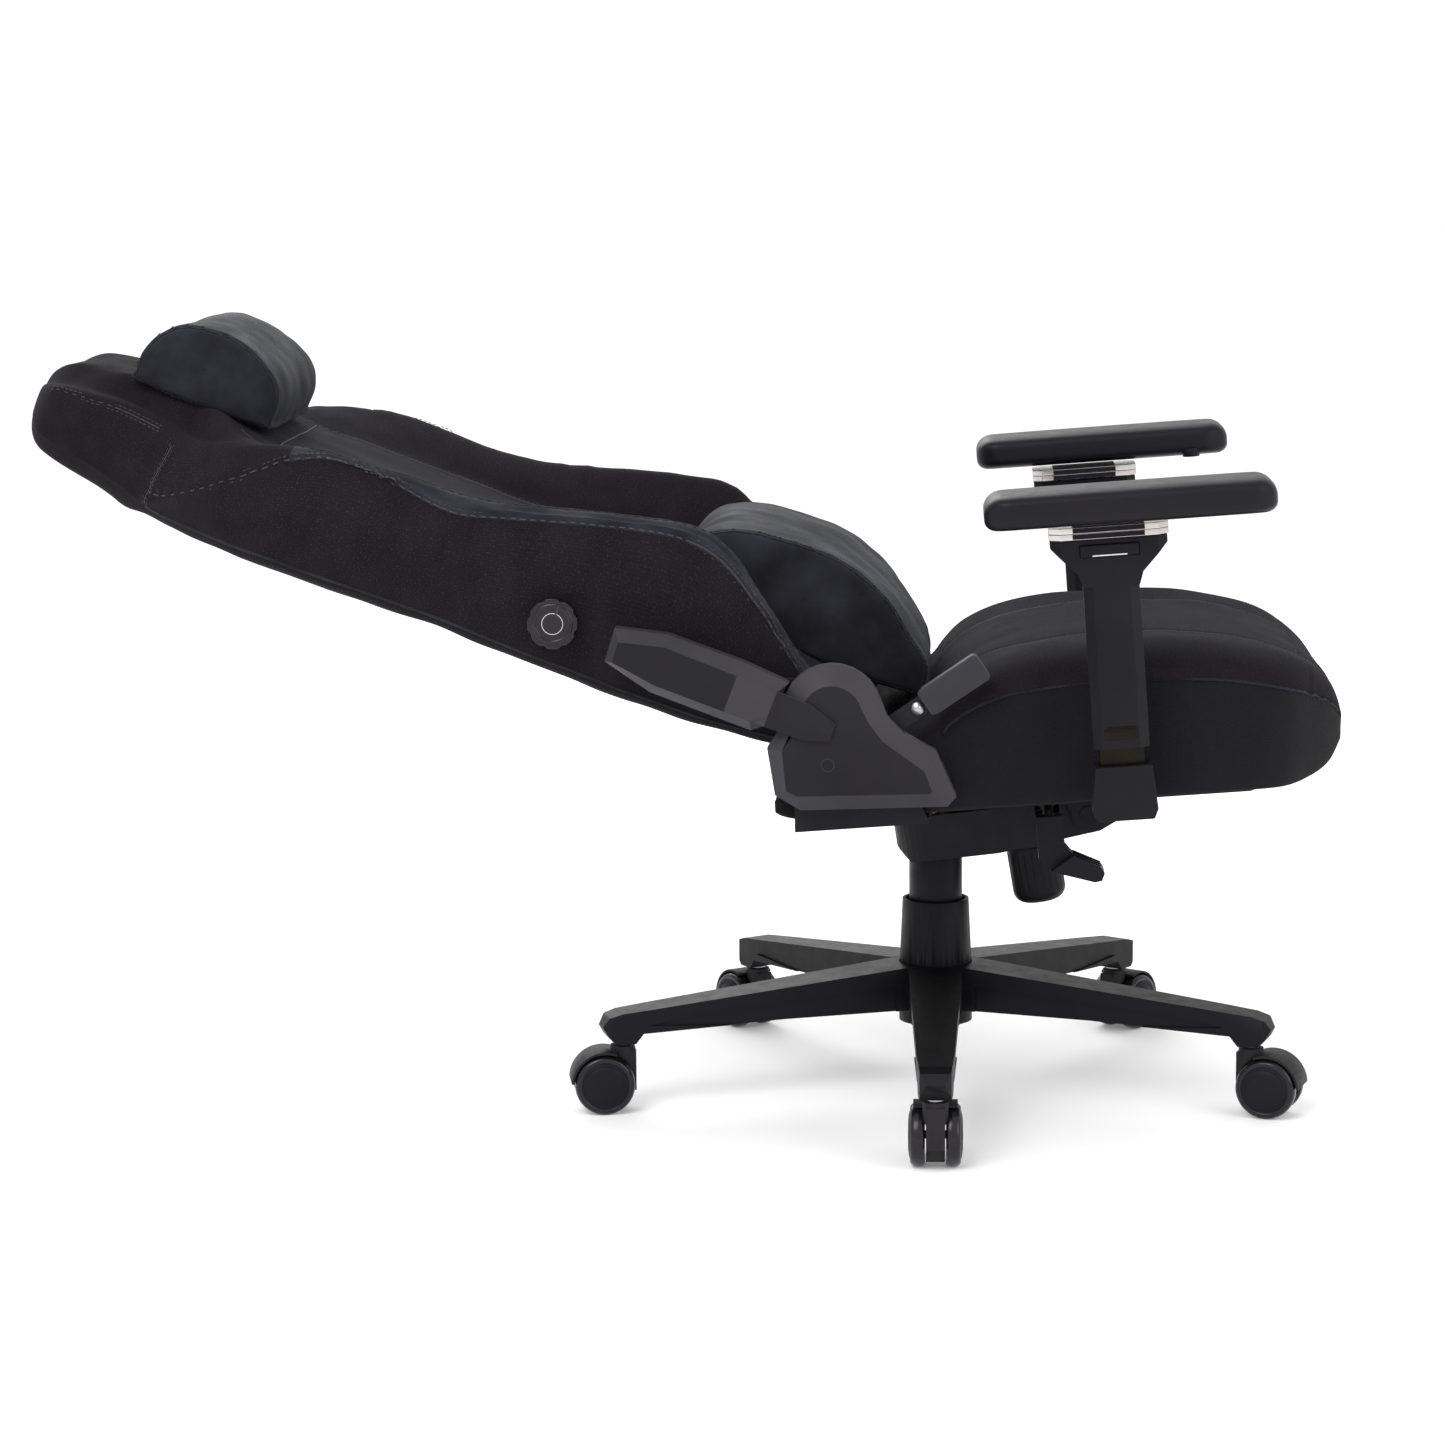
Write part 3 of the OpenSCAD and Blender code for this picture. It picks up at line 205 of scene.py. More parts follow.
def press_seams(bm, lines, width, depth):
    """Sinks the surface along seam lines, as sewn cloth does."""
    tree = seam_tree(lines)
    bm.normal_update()
    for vert in bm.verts:
        distance = tree.find(vert.co)[2]
        if distance < 3 * width:
            vert.co -= vert.normal * depth * math.exp(-((distance / width) ** 2))


CLOTH_STEPS = 20


def puff(bm, pressure, cap, pinned):
    """Swells a closed form with a cloth simulation, and holds every point within cap of its start."""
    worker = as_worker(bm)
    starts = [v.co.copy() for v in worker.data.vertices]
    cloth = worker.modifiers.new("cloth", "CLOTH")
    settings = cloth.settings
    settings.quality = 5
    settings.mass = 0.4
    settings.tension_stiffness = settings.compression_stiffness = 18
    settings.shear_stiffness = 8
    settings.bending_stiffness = 0.6
    settings.use_pressure = True
    settings.uniform_pressure_force = pressure
    settings.effector_weights.gravity = 0.0
    cloth.collision_settings.use_collision = False
    group = worker.vertex_groups.new(name="pinned")
    for vert in worker.data.vertices:
        group.add([vert.index], pinned(vert.co), "REPLACE")
    settings.vertex_group_mass = "pinned"
    settings.pin_stiffness = 2.0
    cloth.point_cache.frame_start = 1
    cloth.point_cache.frame_end = CLOTH_STEPS
    for step in range(1, CLOTH_STEPS + 1):
        bpy.context.scene.frame_set(step)
    result = take_evaluated(worker)
    bpy.context.scene.frame_set(1)
    for vert, start in zip(result.verts, starts):
        move = vert.co - start
        if move.length > cap:
            vert.co = start + move.normalized() * cap
    bmesh.ops.smooth_vert(result, verts=result.verts, factor=0.5, use_axis_x=True, use_axis_y=True,
                          use_axis_z=True)
    return result


def settle_on(piece, lines):
    """Moves each point of the lines to the piece's surface; gives (point, normal) pairs."""
    bm = bmesh.new()
    bm.from_mesh(piece.data)
    tree = BVHTree.FromBMesh(bm)
    bm.free()
    settled = []
    for line in lines:
        pairs = []
        for point in line:
            place, normal, _, _ = tree.find_nearest(point)
            pairs.append((place, normal))
        settled.append(pairs)
    return settled


def skin_over(bm, rings):
    """Joins rings of points into a closed tube."""
    for a, b in zip(rings, rings[1:]):
        for k in range(len(a)):
            m = (k + 1) % len(a)
            bm.faces.new((a[k], a[m], b[m], b[k]))
    bm.faces.new(rings[0][::-1])
    bm.faces.new(rings[-1])


def cord_along(bm, pairs, radius, sides=6):
    """Sweeps a thin welt along (point, normal) pairs."""
    rows = []
    for i, (point, normal) in enumerate(pairs):
        ahead = pairs[min(i + 1, len(pairs) - 1)][0] - pairs[max(i - 1, 0)][0]
        ahead.normalize()
        across = ahead.cross(normal).normalized()
        upward = across.cross(ahead)
        ring = []
        for k in range(sides):
            angle = math.tau * k / sides
            ring.append(bm.verts.new(point + (across * math.cos(angle) + upward * math.sin(angle)) * radius))
        rows.append(ring)
    skin_over(bm, rows)


# A stitch's length, the gap to the next one and the thread's radius
STITCH, STITCH_GAP, THREAD = 3.4 * MM, 1.8 * MM, 0.45 * MM


def stitches_along(bm, pairs, offset):
    """Lays small threads beside a seam, offset to one side of it."""
    travelled = 0.0
    next_place = 0.0
    for i in range(len(pairs) - 1):
        (a, normal), (b, _) = pairs[i], pairs[i + 1]
        ahead = b - a
        span = ahead.length
        if span < 1e-6:
            continue
        ahead.normalize()
        across = ahead.cross(normal).normalized()
        while next_place < travelled + span:
            centre = a + ahead * (next_place - travelled) + across * offset + normal * THREAD * 0.4
            ends = (centre - ahead * STITCH / 2, centre + ahead * STITCH / 2)
            skin_over(bm, [[bm.verts.new(end + across * THREAD), bm.verts.new(end + normal * THREAD),
                            bm.verts.new(end - across * THREAD), bm.verts.new(end - normal * THREAD)]
                           for end in ends])
            next_place += STITCH + STITCH_GAP
        travelled += span


def sew(name, piece, lines, body, slot, material, welt, rows):
    """A welt along each line, as a share of the usual one, and rows of stitches beside it, as one piece."""
    bm = bmesh.new()
    for pairs in settle_on(piece, lines):
        cord_along(bm, pairs, welt * sizes().welt)
        for row in rows:
            stitches_along(bm, pairs, row * MM)
    bmesh.ops.recalc_face_normals(bm, faces=bm.faces)
    return as_piece(name, bm, body, slot, [material])


def refine(node, name, materials, width, zone, cuts=()):
    """A finished copy of a frame node: cut where its finish changes, flat faces joined, edges rounded."""
    bm = bmesh.new()
    bm.from_mesh(frame["nodes"][node].data)
    bmesh.ops.remove_doubles(bm, verts=bm.verts, dist=2e-6)
    bmesh.ops.dissolve_limit(bm, angle_limit=math.radians(1.0), verts=bm.verts, edges=bm.edges)
    for place, direction in cuts:
        bmesh.ops.bisect_plane(bm, geom=bm.verts[:] + bm.edges[:] + bm.faces[:], dist=1e-6, plane_co=place,
                               plane_no=direction)
    bm.normal_update()
    for face in bm.faces:
        face.material_index = zone(face.calc_center_median(), face.normal)
    sharp = [e for e in bm.edges if len(e.link_faces) == 2 and e.calc_face_angle(0.0) > math.radians(14)]
    bmesh.ops.bevel(bm, geom=sharp, offset=width, offset_type="OFFSET", segments=2, profile=0.5,
                    affect="EDGES", clamp_overlap=True, material=1, loop_slide=True)
    for edge in bm.edges:
        edge.smooth = not (len(edge.link_faces) == 2 and edge.calc_face_angle(0.0) > math.radians(40))
    slots = {part["node"]: part["material_slot"] for part in frame["record"]["subparts"]}
    bodies = frame["record"]["behaviour"]["bodies"]
    body = next(label for label, members in bodies.items() if node in members)
    piece = as_piece(name, bm, body, slots[node], materials)
    level = piece.modifiers.new("level", "WEIGHTED_NORMAL")
    level.keep_sharp = True
    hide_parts(node)
    return piece


# ---- shared surface effects ---------------------------------------------------------------


def effect(name, inputs, outputs, wire):
    """A shader node group with named sockets, wired by the given function."""
    group = bpy.data.node_groups.new(name, "ShaderNodeTree")
    for label, kind, default in inputs:
        socket = group.interface.new_socket(label, in_out="INPUT", socket_type=kind)
        if default is not None:
            socket.default_value = default
    for label, kind in outputs:
        group.interface.new_socket(label, in_out="OUTPUT", socket_type=kind)
    start = group.nodes.new("NodeGroupInput")
    end = group.nodes.new("NodeGroupOutput")
    wire(group, start, end)
    return group


def noise_node(tree, vector, scale, detail, rough=0.5):
    """A noise texture of the given scale on a vector socket."""
    node = tree.nodes.new("ShaderNodeTexNoise")
    node.inputs["Detail"].default_value = detail
    node.inputs["Roughness"].default_value = rough
    if hasattr(scale, "node"):
        tree.links.new(scale, node.inputs["Scale"])
    else:
        node.inputs["Scale"].default_value = scale
    tree.links.new(vector, node.inputs["Vector"])
    return node.outputs["Fac"]


def spread(tree, value, low, high, to_low=0.0, to_high=1.0):
    """Maps a value's range to another, held at both ends."""
    node = tree.nodes.new("ShaderNodeMapRange")
    for label, number in (("From Min", low), ("From Max", high), ("To Min", to_low), ("To Max", to_high)):
        node.inputs[label].default_value = number
    tree.links.new(value, node.inputs["Value"])
    return node.outputs["Result"]


def sum_of(tree, a, b, operation="ADD"):
    """Adds or otherwise joins two values, either of which may be a number."""
    node = tree.nodes.new("ShaderNodeMath")
    node.operation = operation
    for i, value in enumerate((a, b)):
        if hasattr(value, "node"):
            tree.links.new(value, node.inputs[i])
        else:
            node.inputs[i].default_value = value
    return node.outputs[0]


def blend_colours(tree, share, first, second):
    """Goes from the first colour to the second with share."""
    node = tree.nodes.new("ShaderNodeMix")
    node.data_type = "RGBA"
    tree.links.new(share, node.inputs["Factor"])
    for socket, colour in ((node.inputs[6], first), (node.inputs[7], second)):
        if hasattr(colour, "node"):
            tree.links.new(colour, socket)
        else:
            socket.default_value = colour
    return node.outputs[2]


def wire_out(group, end, **results):
    """Wires each result to the effect's output of that name."""
    for label, socket in results.items():
        group.links.new(socket, end.inputs[label])


def wire_heather(group, start, end):
    """Woven yarn in two tones with pale flecks, on a cloth's own millimetre map."""
    place = start.outputs["Place"]
    bands = []
    for direction in ("X", "Y"):
        wave = group.nodes.new("ShaderNodeTexWave")
        wave.bands_direction = direction
        wave.inputs["Scale"].default_value = 145.0
        wave.inputs["Distortion"].default_value = 1.4
        wave.inputs["Detail"].default_value = 1.0
        group.links.new(place, wave.inputs["Vector"])
        bands.append(wave.outputs["Fac"])
    weave = sum_of(group, bands[0], bands[1], "MULTIPLY")
    fleck = spread(group, noise_node(group, place, 620.0, 3.0, 0.7), 0.56, 0.72)
    cloud = noise_node(group, place, 26.0, 3.0)
    tone = sum_of(group, spread(group, cloud, 0.3, 0.7, 0.0, 0.35),
                  spread(group, weave, 0.0, 1.0, 0.0, 0.35))
    yarn = blend_colours(group, tone, start.outputs["Deep"], start.outputs["Yarn"])
    amount = sum_of(group, fleck, start.outputs["Fleck share"], "MULTIPLY")
    wire_out(group, end, Colour=blend_colours(group, amount, yarn, start.outputs["Fleck"]),
             Height=sum_of(group, weave, fleck), Roughness=spread(group, cloud, 0.3, 0.7, 0.8, 0.95))


def wire_pile(group, start, end):
    """Short pile brushed in patches, lighter where it lies over."""
    place = start.outputs["Place"]
    patches = spread(group, noise_node(group, place, 16.0, 4.0, 0.55), 0.38, 0.66)
    tips = noise_node(group, place, 1400.0, 2.0, 0.7)
    share = sum_of(group, sum_of(group, patches, 0.7, "MULTIPLY"), sum_of(group, tips, 0.25, "MULTIPLY"))
    colour = blend_colours(group, share, start.outputs["Deep"], start.outputs["Lain over"])
    wire_out(group, end, Colour=colour, Height=sum_of(group, tips, sum_of(group, patches, 0.4, "MULTIPLY")),
             Roughness=spread(group, patches, 0.0, 1.0, 0.92, 0.7))


def wire_grain(group, start, end):
    """Fine moulded grain, with a slow drift of tone and a little wear in its gloss."""
    place = start.outputs["Place"]
    pits = noise_node(group, place, start.outputs["Grain"], 3.0, 0.6)
    drift = noise_node(group, place, 9.0, 3.0)
    rubbed = spread(group, noise_node(group, place, 60.0, 4.0, 0.6), 0.35, 0.75)
    tone = sum_of(group, spread(group, drift, 0.3, 0.7, 0.0, 0.7), sum_of(group, pits, 0.3, "MULTIPLY"))
    colour = blend_colours(group, tone, start.outputs["Base"], start.outputs["Faded"])
    gloss = sum_of(group, sum_of(group, rubbed, 0.12, "MULTIPLY"), sum_of(group, pits, 0.1, "MULTIPLY"))
    wire_out(group, end, Colour=colour, Height=pits,
             Roughness=sum_of(group, start.outputs["Roughness"], gloss))


def wire_brushed(group, start, end):
    """Fine straight scratches along one direction, with slow changes of tone."""
    stretch = group.nodes.new("ShaderNodeVectorMath")
    stretch.operation = "MULTIPLY"
    stretch.inputs[1].default_value = (1.0, 30.0, 12.0)
    group.links.new(start.outputs["Place"], stretch.inputs[0])
    lines = noise_node(group, stretch.outputs[0], 60.0, 4.0, 0.6)
    drift = noise_node(group, start.outputs["Place"], 30.0, 3.0)
    mixed = sum_of(group, lines, drift, "MULTIPLY")
    wire_out(group, end, Colour=blend_colours(group, mixed, start.outputs["Base"], start.outputs["Bright"]),
             Roughness=sum_of(group, start.outputs["Roughness"], sum_of(group, lines, 0.18, "MULTIPLY")),
             Height=lines)


COLOUR, VALUE, PLACE = "NodeSocketColor", "NodeSocketFloat", "NodeSocketVector"
SURFACE = (("Colour", COLOUR), ("Height", VALUE), ("Roughness", VALUE))
EFFECTS = {}


def build_effects():
    """Makes each shared effect once."""
    place = ("Place", PLACE, None)
    EFFECTS["heather"] = effect("Heathered weave", [place, ("Deep", COLOUR, None), ("Yarn", COLOUR, None),
                                ("Fleck", COLOUR, None), ("Fleck share", VALUE, 0.5)], SURFACE, wire_heather)
    EFFECTS["pile"] = effect("Brushed pile", [place, ("Deep", COLOUR, None), ("Lain over", COLOUR, None)],
                             SURFACE, wire_pile)
    EFFECTS["grain"] = effect("Moulded grain", [place, ("Base", COLOUR, None), ("Faded", COLOUR, None),
                              ("Grain", VALUE, 900.0), ("Roughness", VALUE, 0.4)], SURFACE, wire_grain)
    EFFECTS["brushed"] = effect("Brushed metal", [place, ("Base", COLOUR, None), ("Bright", COLOUR, None),
                                ("Roughness", VALUE, 0.2)], SURFACE, wire_brushed)


def finish_from(name, kind, values, relief, depth, constants, cloth=False):
    """A material whose colour, roughness and relief come from one of the shared effects."""
    material = bpy.data.materials.new(name)
    material.use_nodes = True
    tree = material.node_tree
    shader = tree.nodes["Principled BSDF"]
    place = tree.nodes.new("ShaderNodeTexCoord").outputs["UV" if cloth else "Object"]
    body = tree.nodes.new("ShaderNodeGroup")
    body.node_tree = EFFECTS[kind]
    tree.links.new(place, body.inputs["Place"])
    for label, value in values.items():
        body.inputs[label].default_value = value
    tree.links.new(body.outputs["Colour"], shader.inputs["Base Color"])
    tree.links.new(body.outputs["Roughness"], shader.inputs["Roughness"])
    bump = tree.nodes.new("ShaderNodeBump")
    bump.inputs["Strength"].default_value = relief
    bump.inputs["Distance"].default_value = depth
    tree.links.new(body.outputs["Height"], bump.inputs["Height"])
    tree.links.new(bump.outputs["Normal"], shader.inputs["Normal"])
    for label, value in constants.items():
        shader.inputs[label].default_value = value
    return material


# ---- sizes and colours --------------------------------------------------------------------


class ChairColours(bpy.types.PropertyGroup):
    """Colours of the finishes."""

    fabric: bpy.props.FloatVectorProperty(
        name="Fabric", description="Main yarn of the woven covers", subtype="COLOR", size=4, min=0, max=1,
        default=(0.019, 0.0165, 0.0215, 1))
    fabric_deep: bpy.props.FloatVectorProperty(
        name="Fabric shade", description="Yarn in the hollows of the weave", subtype="COLOR", size=4, min=0,
        max=1, default=(0.0055, 0.0048, 0.0065, 1))
    fleck: bpy.props.FloatVectorProperty(
        name="Fleck", description="Pale fibres in the yarn", subtype="COLOR", size=4, min=0, max=1,
        default=(0.06, 0.052, 0.062, 1))
    velour: bpy.props.FloatVectorProperty(
        name="Velour", description="Pile of the pillows and side bands", subtype="COLOR", size=4, min=0,
        max=1, default=(0.0062, 0.0063, 0.0098, 1))
    velour_lain: bpy.props.FloatVectorProperty(
        name="Velour lain over", description="Pile where it lies flat", subtype="COLOR", size=4, min=0, max=1,
        default=(0.021, 0.0215, 0.0315, 1))
    trim: bpy.props.FloatVectorProperty(
        name="Side covers", description="Moulded side covers and lever grip", subtype="COLOR", size=4, min=0,
        max=1, default=(0.0075, 0.0073, 0.0085, 1))
    base: bpy.props.FloatVectorProperty(
        name="Base", description="Star base, hoods and shrouds", subtype="COLOR", size=4, min=0, max=1,
        default=(0.0042, 0.0042, 0.0048, 1))


class ChairSizes(bpy.types.PropertyGroup):
    """Sizes of the upholstery's details."""

    welt: bpy.props.FloatProperty(
        name="Welt", description="Radius of the piping along the seams", default=1.0 * MM, min=0.3 * MM,
        max=4 * MM, unit="LENGTH")
    seam_depth: bpy.props.FloatProperty(
        name="Seam depth", description="How deep a seam pulls the foam in", default=3.2 * MM, min=0,
        max=10 * MM, unit="LENGTH")
    plump: bpy.props.FloatProperty(
        name="Plumpness", description="Most that the cloth may swell", default=7 * MM, min=0, max=20 * MM,
        unit="LENGTH")
    edge: bpy.props.FloatProperty(
        name="Edge radius", description="Rounding of the moulded parts' edges", default=1.1 * MM,
        min=0.2 * MM, max=3 * MM, unit="LENGTH")


def colours():
    """The scene's colours."""
    return bpy.context.scene.chair_colours


def sizes():
    """The scene's sizes."""
    return bpy.context.scene.chair_sizes


FINISHES = {}


def build_finishes():
    """Makes every material once."""
    build_effects()
    c = colours()
    cloth = {"Deep": c.fabric_deep, "Yarn": c.fabric, "Fleck": c.fleck, "Fleck share": 0.55}
    FINISHES["fabric"] = finish_from("Heathered fabric", "heather", cloth, 0.55, 0.0005,
                                     {"Sheen Weight": 0.02, "Sheen Roughness": 0.5,
                                      "Specular IOR Level": 0.06},
                                     cloth=True)
    pile = {"Deep": c.velour, "Lain over": c.velour_lain}
    FINISHES["velour"] = finish_from("Brushed velour", "pile", pile, 0.5, 0.0006,
                                     {"Sheen Weight": 0.07, "Sheen Roughness": 0.3, "Specular IOR Level": 0.2,
                                      "Sheen Tint": (0.7, 0.72, 0.85, 1)}, cloth=True)
    dark = {"Deep": (0.005, 0.0051, 0.0078, 1), "Lain over": (0.017, 0.0175, 0.0255, 1)}
    FINISHES["end_velour"] = finish_from("Velour on end panels", "pile", dark, 0.4, 0.0004,
                                         {"Sheen Weight": 0.05, "Specular IOR Level": 0.15})
    seat_side = {"Deep": (0.004, 0.0037, 0.0046, 1), "Yarn": (0.0125, 0.0114, 0.0138, 1),
                 "Fleck": (0.03, 0.027, 0.031, 1), "Fleck share": 0.4}
    FINISHES["seat_side"] = finish_from("Seat side fabric", "heather", seat_side, 0.5, 0.0004,
                                        {"Sheen Weight": 0.03, "Specular IOR Level": 0.12}, cloth=True)
    thread = {"Base": (0.014, 0.0125, 0.016, 1), "Faded": (0.04, 0.036, 0.044, 1), "Grain": 1500.0,
              "Roughness": 0.6}
    FINISHES["thread"] = finish_from("Sewing thread", "grain", thread, 0.4, 0.0002, {"Sheen Weight": 0.05})
    plain = (
        ("trim", "Moulded side cover", tuple(c.trim), 1.9, 1100.0, 0.42, 0.22, {}),
        # Painted highlight: the lighter colour on the covers' bevels and rims stands in for light catching those
        # edges.
        ("trim_edge_highlight", "Side cover bevels painted highlight", (0.028, 0.027, 0.031, 1), 1.5, 1100.0, 0.4, 0.22, {}),
        # Painted highlight: a lighter band on the upper covers' flat side faces stands in for light on the real
        # cover's facet; the dial mark uses the same colour as its own printed colour.
        ("facet", "Side cover facet highlight and dial mark", (0.03, 0.029, 0.033, 1), 1.4, 1100.0, 0.36, 0.2, {}),
        ("grip", "Lever grip", (0.019, 0.0185, 0.022, 1), 1.7, 1300.0, 0.36, 0.2, {}),
        ("arm_pad", "Soft arm pad", (0.0045, 0.0045, 0.0056, 1), 1.8, 1500.0, 0.32, 0.12,
         {"Specular IOR Level": 0.16}),
        ("base", "Glass-filled nylon", tuple(c.base), 1.5, 900.0, 0.34, 0.2, {}),
        ("post", "Armrest plastic", (0.0048, 0.0048, 0.0062, 1), 2.0, 1000.0, 0.38, 0.2, {}),
        ("fender", "Caster hood plastic", (0.011, 0.0105, 0.011, 1), 1.8, 800.0, 0.42, 0.25, {}),
        ("wheel", "Glossy wheel plastic", (0.003, 0.003, 0.0036, 1), 2.0, 700.0, 0.16, 0.08,
         {"Specular IOR Level": 0.3, "Coat Weight": 0.12, "Coat Roughness": 0.1}),
        ("steel_black", "Black powder coat", (0.006, 0.006, 0.0065, 1), 2.0, 1600.0, 0.4, 0.35, {}),
        ("bush", "Pale bearing plastic", (0.5, 0.5, 0.46, 1), 1.2, 900.0, 0.4, 0.15, {}),
        # Painted shade: the seat board is coloured near-black so that its visible edge under the seat reads as
        # shade.
        ("plywood", "Plywood darkened as painted shade", (0.012, 0.0105, 0.009, 1), 1.6, 300.0, 0.5, 0.3, {}),
    )
    for key, name, base, fade, grain, rough, relief, extra in plain:
        constants = {"Specular IOR Level": 0.13, "Specular Tint": (0.98, 0.9, 1.0, 1), **extra}
        faded = tuple(min(1.0, v * fade) for v in base[:3]) + (1.0,)
        FINISHES[key] = finish_from(name, "grain", {"Base": base, "Faded": faded, "Grain": grain,
                                    "Roughness": rough}, relief, 0.00025, constants)
    for key, name, base, bright, rough in (
        ("bright", "Machined steel", (0.34, 0.34, 0.35, 1), (0.62, 0.62, 0.63, 1), 0.22),
        ("chrome", "Bright chrome", (0.5, 0.48, 0.45, 1), (0.85, 0.83, 0.8, 1), 0.07),
        ("brass", "Turned brass", (0.45, 0.3, 0.1, 1), (0.75, 0.56, 0.25, 1), 0.2),
        ("dark_chrome", "Dark bronze steel", (0.011, 0.009, 0.0075, 1), (0.028, 0.023, 0.019, 1), 0.2),
    ):
        FINISHES[key] = finish_from(name, "brushed", {"Base": base, "Bright": bright, "Roughness": rough},
                                    0.12, 0.0002, {"Metallic": 1.0})
    return {"FINISHED"}


# ---- upholstery forms ---------------------------------------------------------------------

# Half width of the back against length, and lines along it (length, forward), in millimetres
BACK_FOOT, BACK_LENGTH = -28, 875
BACK_HALF = smooth_through([(-28, 200), (-8, 222), (40, 236), (150, 246), (260, 243), (380, 239), (450, 246),
                            (530, 261), (590, 257), (640, 229), (690, 172), (740, 150), (793, 146),
                            (841, 124), (855, 104)])
BACK_FRONT = smooth_through([(-28, 12), (0, 20), (90, 26), (260, 24), (420, 22), (560, 23), (640, 36),
                             (700, 40), (755, 38), (790, 34), (820, 29), (855, 22)])
BACK_REAR = smooth_through([(-28, -50), (20, -58), (112, -65), (300, -68), (520, -68), (640, -72), (693, -78),
                            (749, -69), (796, -60), (829, -52), (855, -44)])
CREST = smooth_through([(-28, 4), (0, 10), (28, 24), (61, 45), (104, 79), (140, 105), (176, 116), (215, 110),
                        (273, 95), (365, 70), (443, 63), (493, 63), (540, 58), (585, 47), (628, 30),
                        (665, 18), (700, 17), (755, 18), (800, 15), (855, 8)])
SIDE_SEAM = smooth_through([(-28, -4), (20, 8), (60, 34), (98, 64), (150, 94), (190, 100), (267, 84),
                            (357, 57), (403, 45), (451, 51), (489, 59), (528, 55), (560, 40),
                            (594, 14), (640, -22),
                            (686, -50), (720, -42), (774, -26), (830, -14), (855, -10)])
WING_FOOT = smooth_through([(-28, 150), (60, 160), (200, 164), (500, 168), (600, 160), (660, 120), (720, 110),
                            (855, 70)])


def half_turn(u):
    """Which side of the chair u lies on, and how far round that side it is, from 0 to 1."""
    return (1, 2 * u) if u <= 0.5 else (-1, 2 * (1 - u))


def outline_at(outline, t):
    """Both values at place t of a smooth outline, given as rows of a place and two values."""
    return [smooth_through([(row[0], row[k]) for row in outline])(t) for k in (1, 2)]


def back_height(w):
    """Length along the back at share w; rows lie closer together towards both ends."""
    end = 0.5 - 0.5 * math.cos(math.pi * w)
    return BACK_FOOT + BACK_LENGTH * (0.72 * w + 0.28 * end)


def back_surface(u, w):
    """The back's skin: u round it from the middle of the front, w from foot to head."""
    up = back_height(w)
    shrink = 1.0
    if up > 814:
        shrink = math.sqrt(max(0.02, 1 - ((up - 814) / 33.4) ** 2))
    if up < -12:
        shrink = math.sqrt(max(0.02, 1 - ((-12 - up) / 16.4) ** 2))
    side, t = half_turn(u)
    half, front, rear = BACK_HALF(up), BACK_FRONT(up), BACK_REAR(up)
    crest, seam, foot = CREST(up), SIDE_SEAM(up), WING_FOOT(up)
    seam = min(seam, crest - 2)
    wing = max(0.0, crest - front)
    outline = [(0, 0, front), (0.14, foot * 0.5, front - 0.5), (0.23, foot - 8, front + 0.1 * wing),
               (0.3, max(foot - 2, half - 58 + 0.25 * (foot - 168)), front + 0.52 * wing),
               (0.37, half - 30, crest - 4), (0.41, half - 16, crest - 1), (0.45, half - 5, crest - 7),
               (0.52, half, max(seam, rear + 14)), (0.6, half + 2, rear + 0.5 * (seam - rear)),
               (0.68, half - 1, rear + 14), (0.73, half - 9, rear + 3), (0.8, half - 34, rear + 0.5),
               (1.0, 0, rear)]
    across, forward = outline_at(outline, t)
    middle = rear + 0.45 * (front - rear)
    across *= 0.25 + 0.75 * shrink
    forward = middle + (forward - middle) * shrink
    return on_back(forward, side * across, up)


def back_line(forward, inset, low, high, side, step=9):
    """A line along the back from low to high, at forward(up) and half width less inset."""
    count = int((high - low) / step)
    points = []
    for i in range(count + 1):
        up = low + (high - low) * i / count
        points.append(on_back(forward(up), side * (BACK_HALF(up) - inset), up))
    return points


SEAT_TOP = [(-150, 54), (-118, 55), (-84, 57), (-66, 78), (-50, 93), (-10, 108), (6, 119), (18, 134),
            (40, 152), (84, 167), (168, 174), (257, 169), (316, 157), (364, 136), (389, 112), (399, 84)]
SEAT_FLOOR = [(-150, 36), (-131, 29), (-100, 27.6), (-80, 27.6), (-60, 27.6), (-20, 27.6), (10, 27.6),
              (30, 27.6), (60, 27.6), (90, 27.6), (170, 27.6), (250, 27.6), (305, 27.6), (350, 28), (380, 36),
              (396, 55)]
SEAT_HALF = smooth_through([(-150, 250), (-60, 253), (20, 255), (294, 254), (344, 240), (375, 200),
                            (395, 160), (405, 110)])


def lengths_along(points):
    """The length so far at each point of a line."""
    lengths = [0.0]
    for a, b in zip(points, points[1:]):
        lengths.append(lengths[-1] + math.dist(a, b))
    return lengths


def run_of(points):
    """Smooth forward and height functions along a profile, by share of its length."""
    lengths = lengths_along(points)
    shares = [s / lengths[-1] for s in lengths]
    return (smooth_through([(s, p[0]) for s, p in zip(shares, points)]),
            smooth_through([(s, p[1]) for s, p in zip(shares, points)]), shares)


TOP_X, TOP_Z, TOP_SHARES = run_of(SEAT_TOP)
FLOOR_X = smooth_through(list(zip(TOP_SHARES, [p[0] for p in SEAT_FLOOR])))
FLOOR_Z = smooth_through(list(zip(TOP_SHARES, [p[1] for p in SEAT_FLOOR])))


def seat_surface(u, w):
    """The seat's skin: u round it from the middle of the top, w from rear to front."""
    side, t = half_turn(u)
    half = SEAT_HALF(TOP_X(w))
    full = min(1.0, max(0.0, (TOP_Z(w) - 60) / 100))
    outline = [(0, 0, 1.0), (0.2, 0.5, 0.995), (0.26, 0.6, 1.0), (0.33, 0.78, 1.0 + 0.01 * full),
               (0.4, 0.9, 0.97), (0.45, 0.965, 0.9), (0.5, 0.995, 0.78), (0.6, 1.0, 0.45),
               (0.69, 0.995, 0.12), (0.73, 0.975, 0.02), (0.78, 0.93, 0.0), (1.0, 0, 0.0)]
    share, level = outline_at(outline, t)
    forward = FLOOR_X(w) + (TOP_X(w) - FLOOR_X(w)) * level
    up = FLOOR_Z(w) + (TOP_Z(w) - FLOOR_Z(w)) * level
    return on_seat(forward, side * share * half, up)


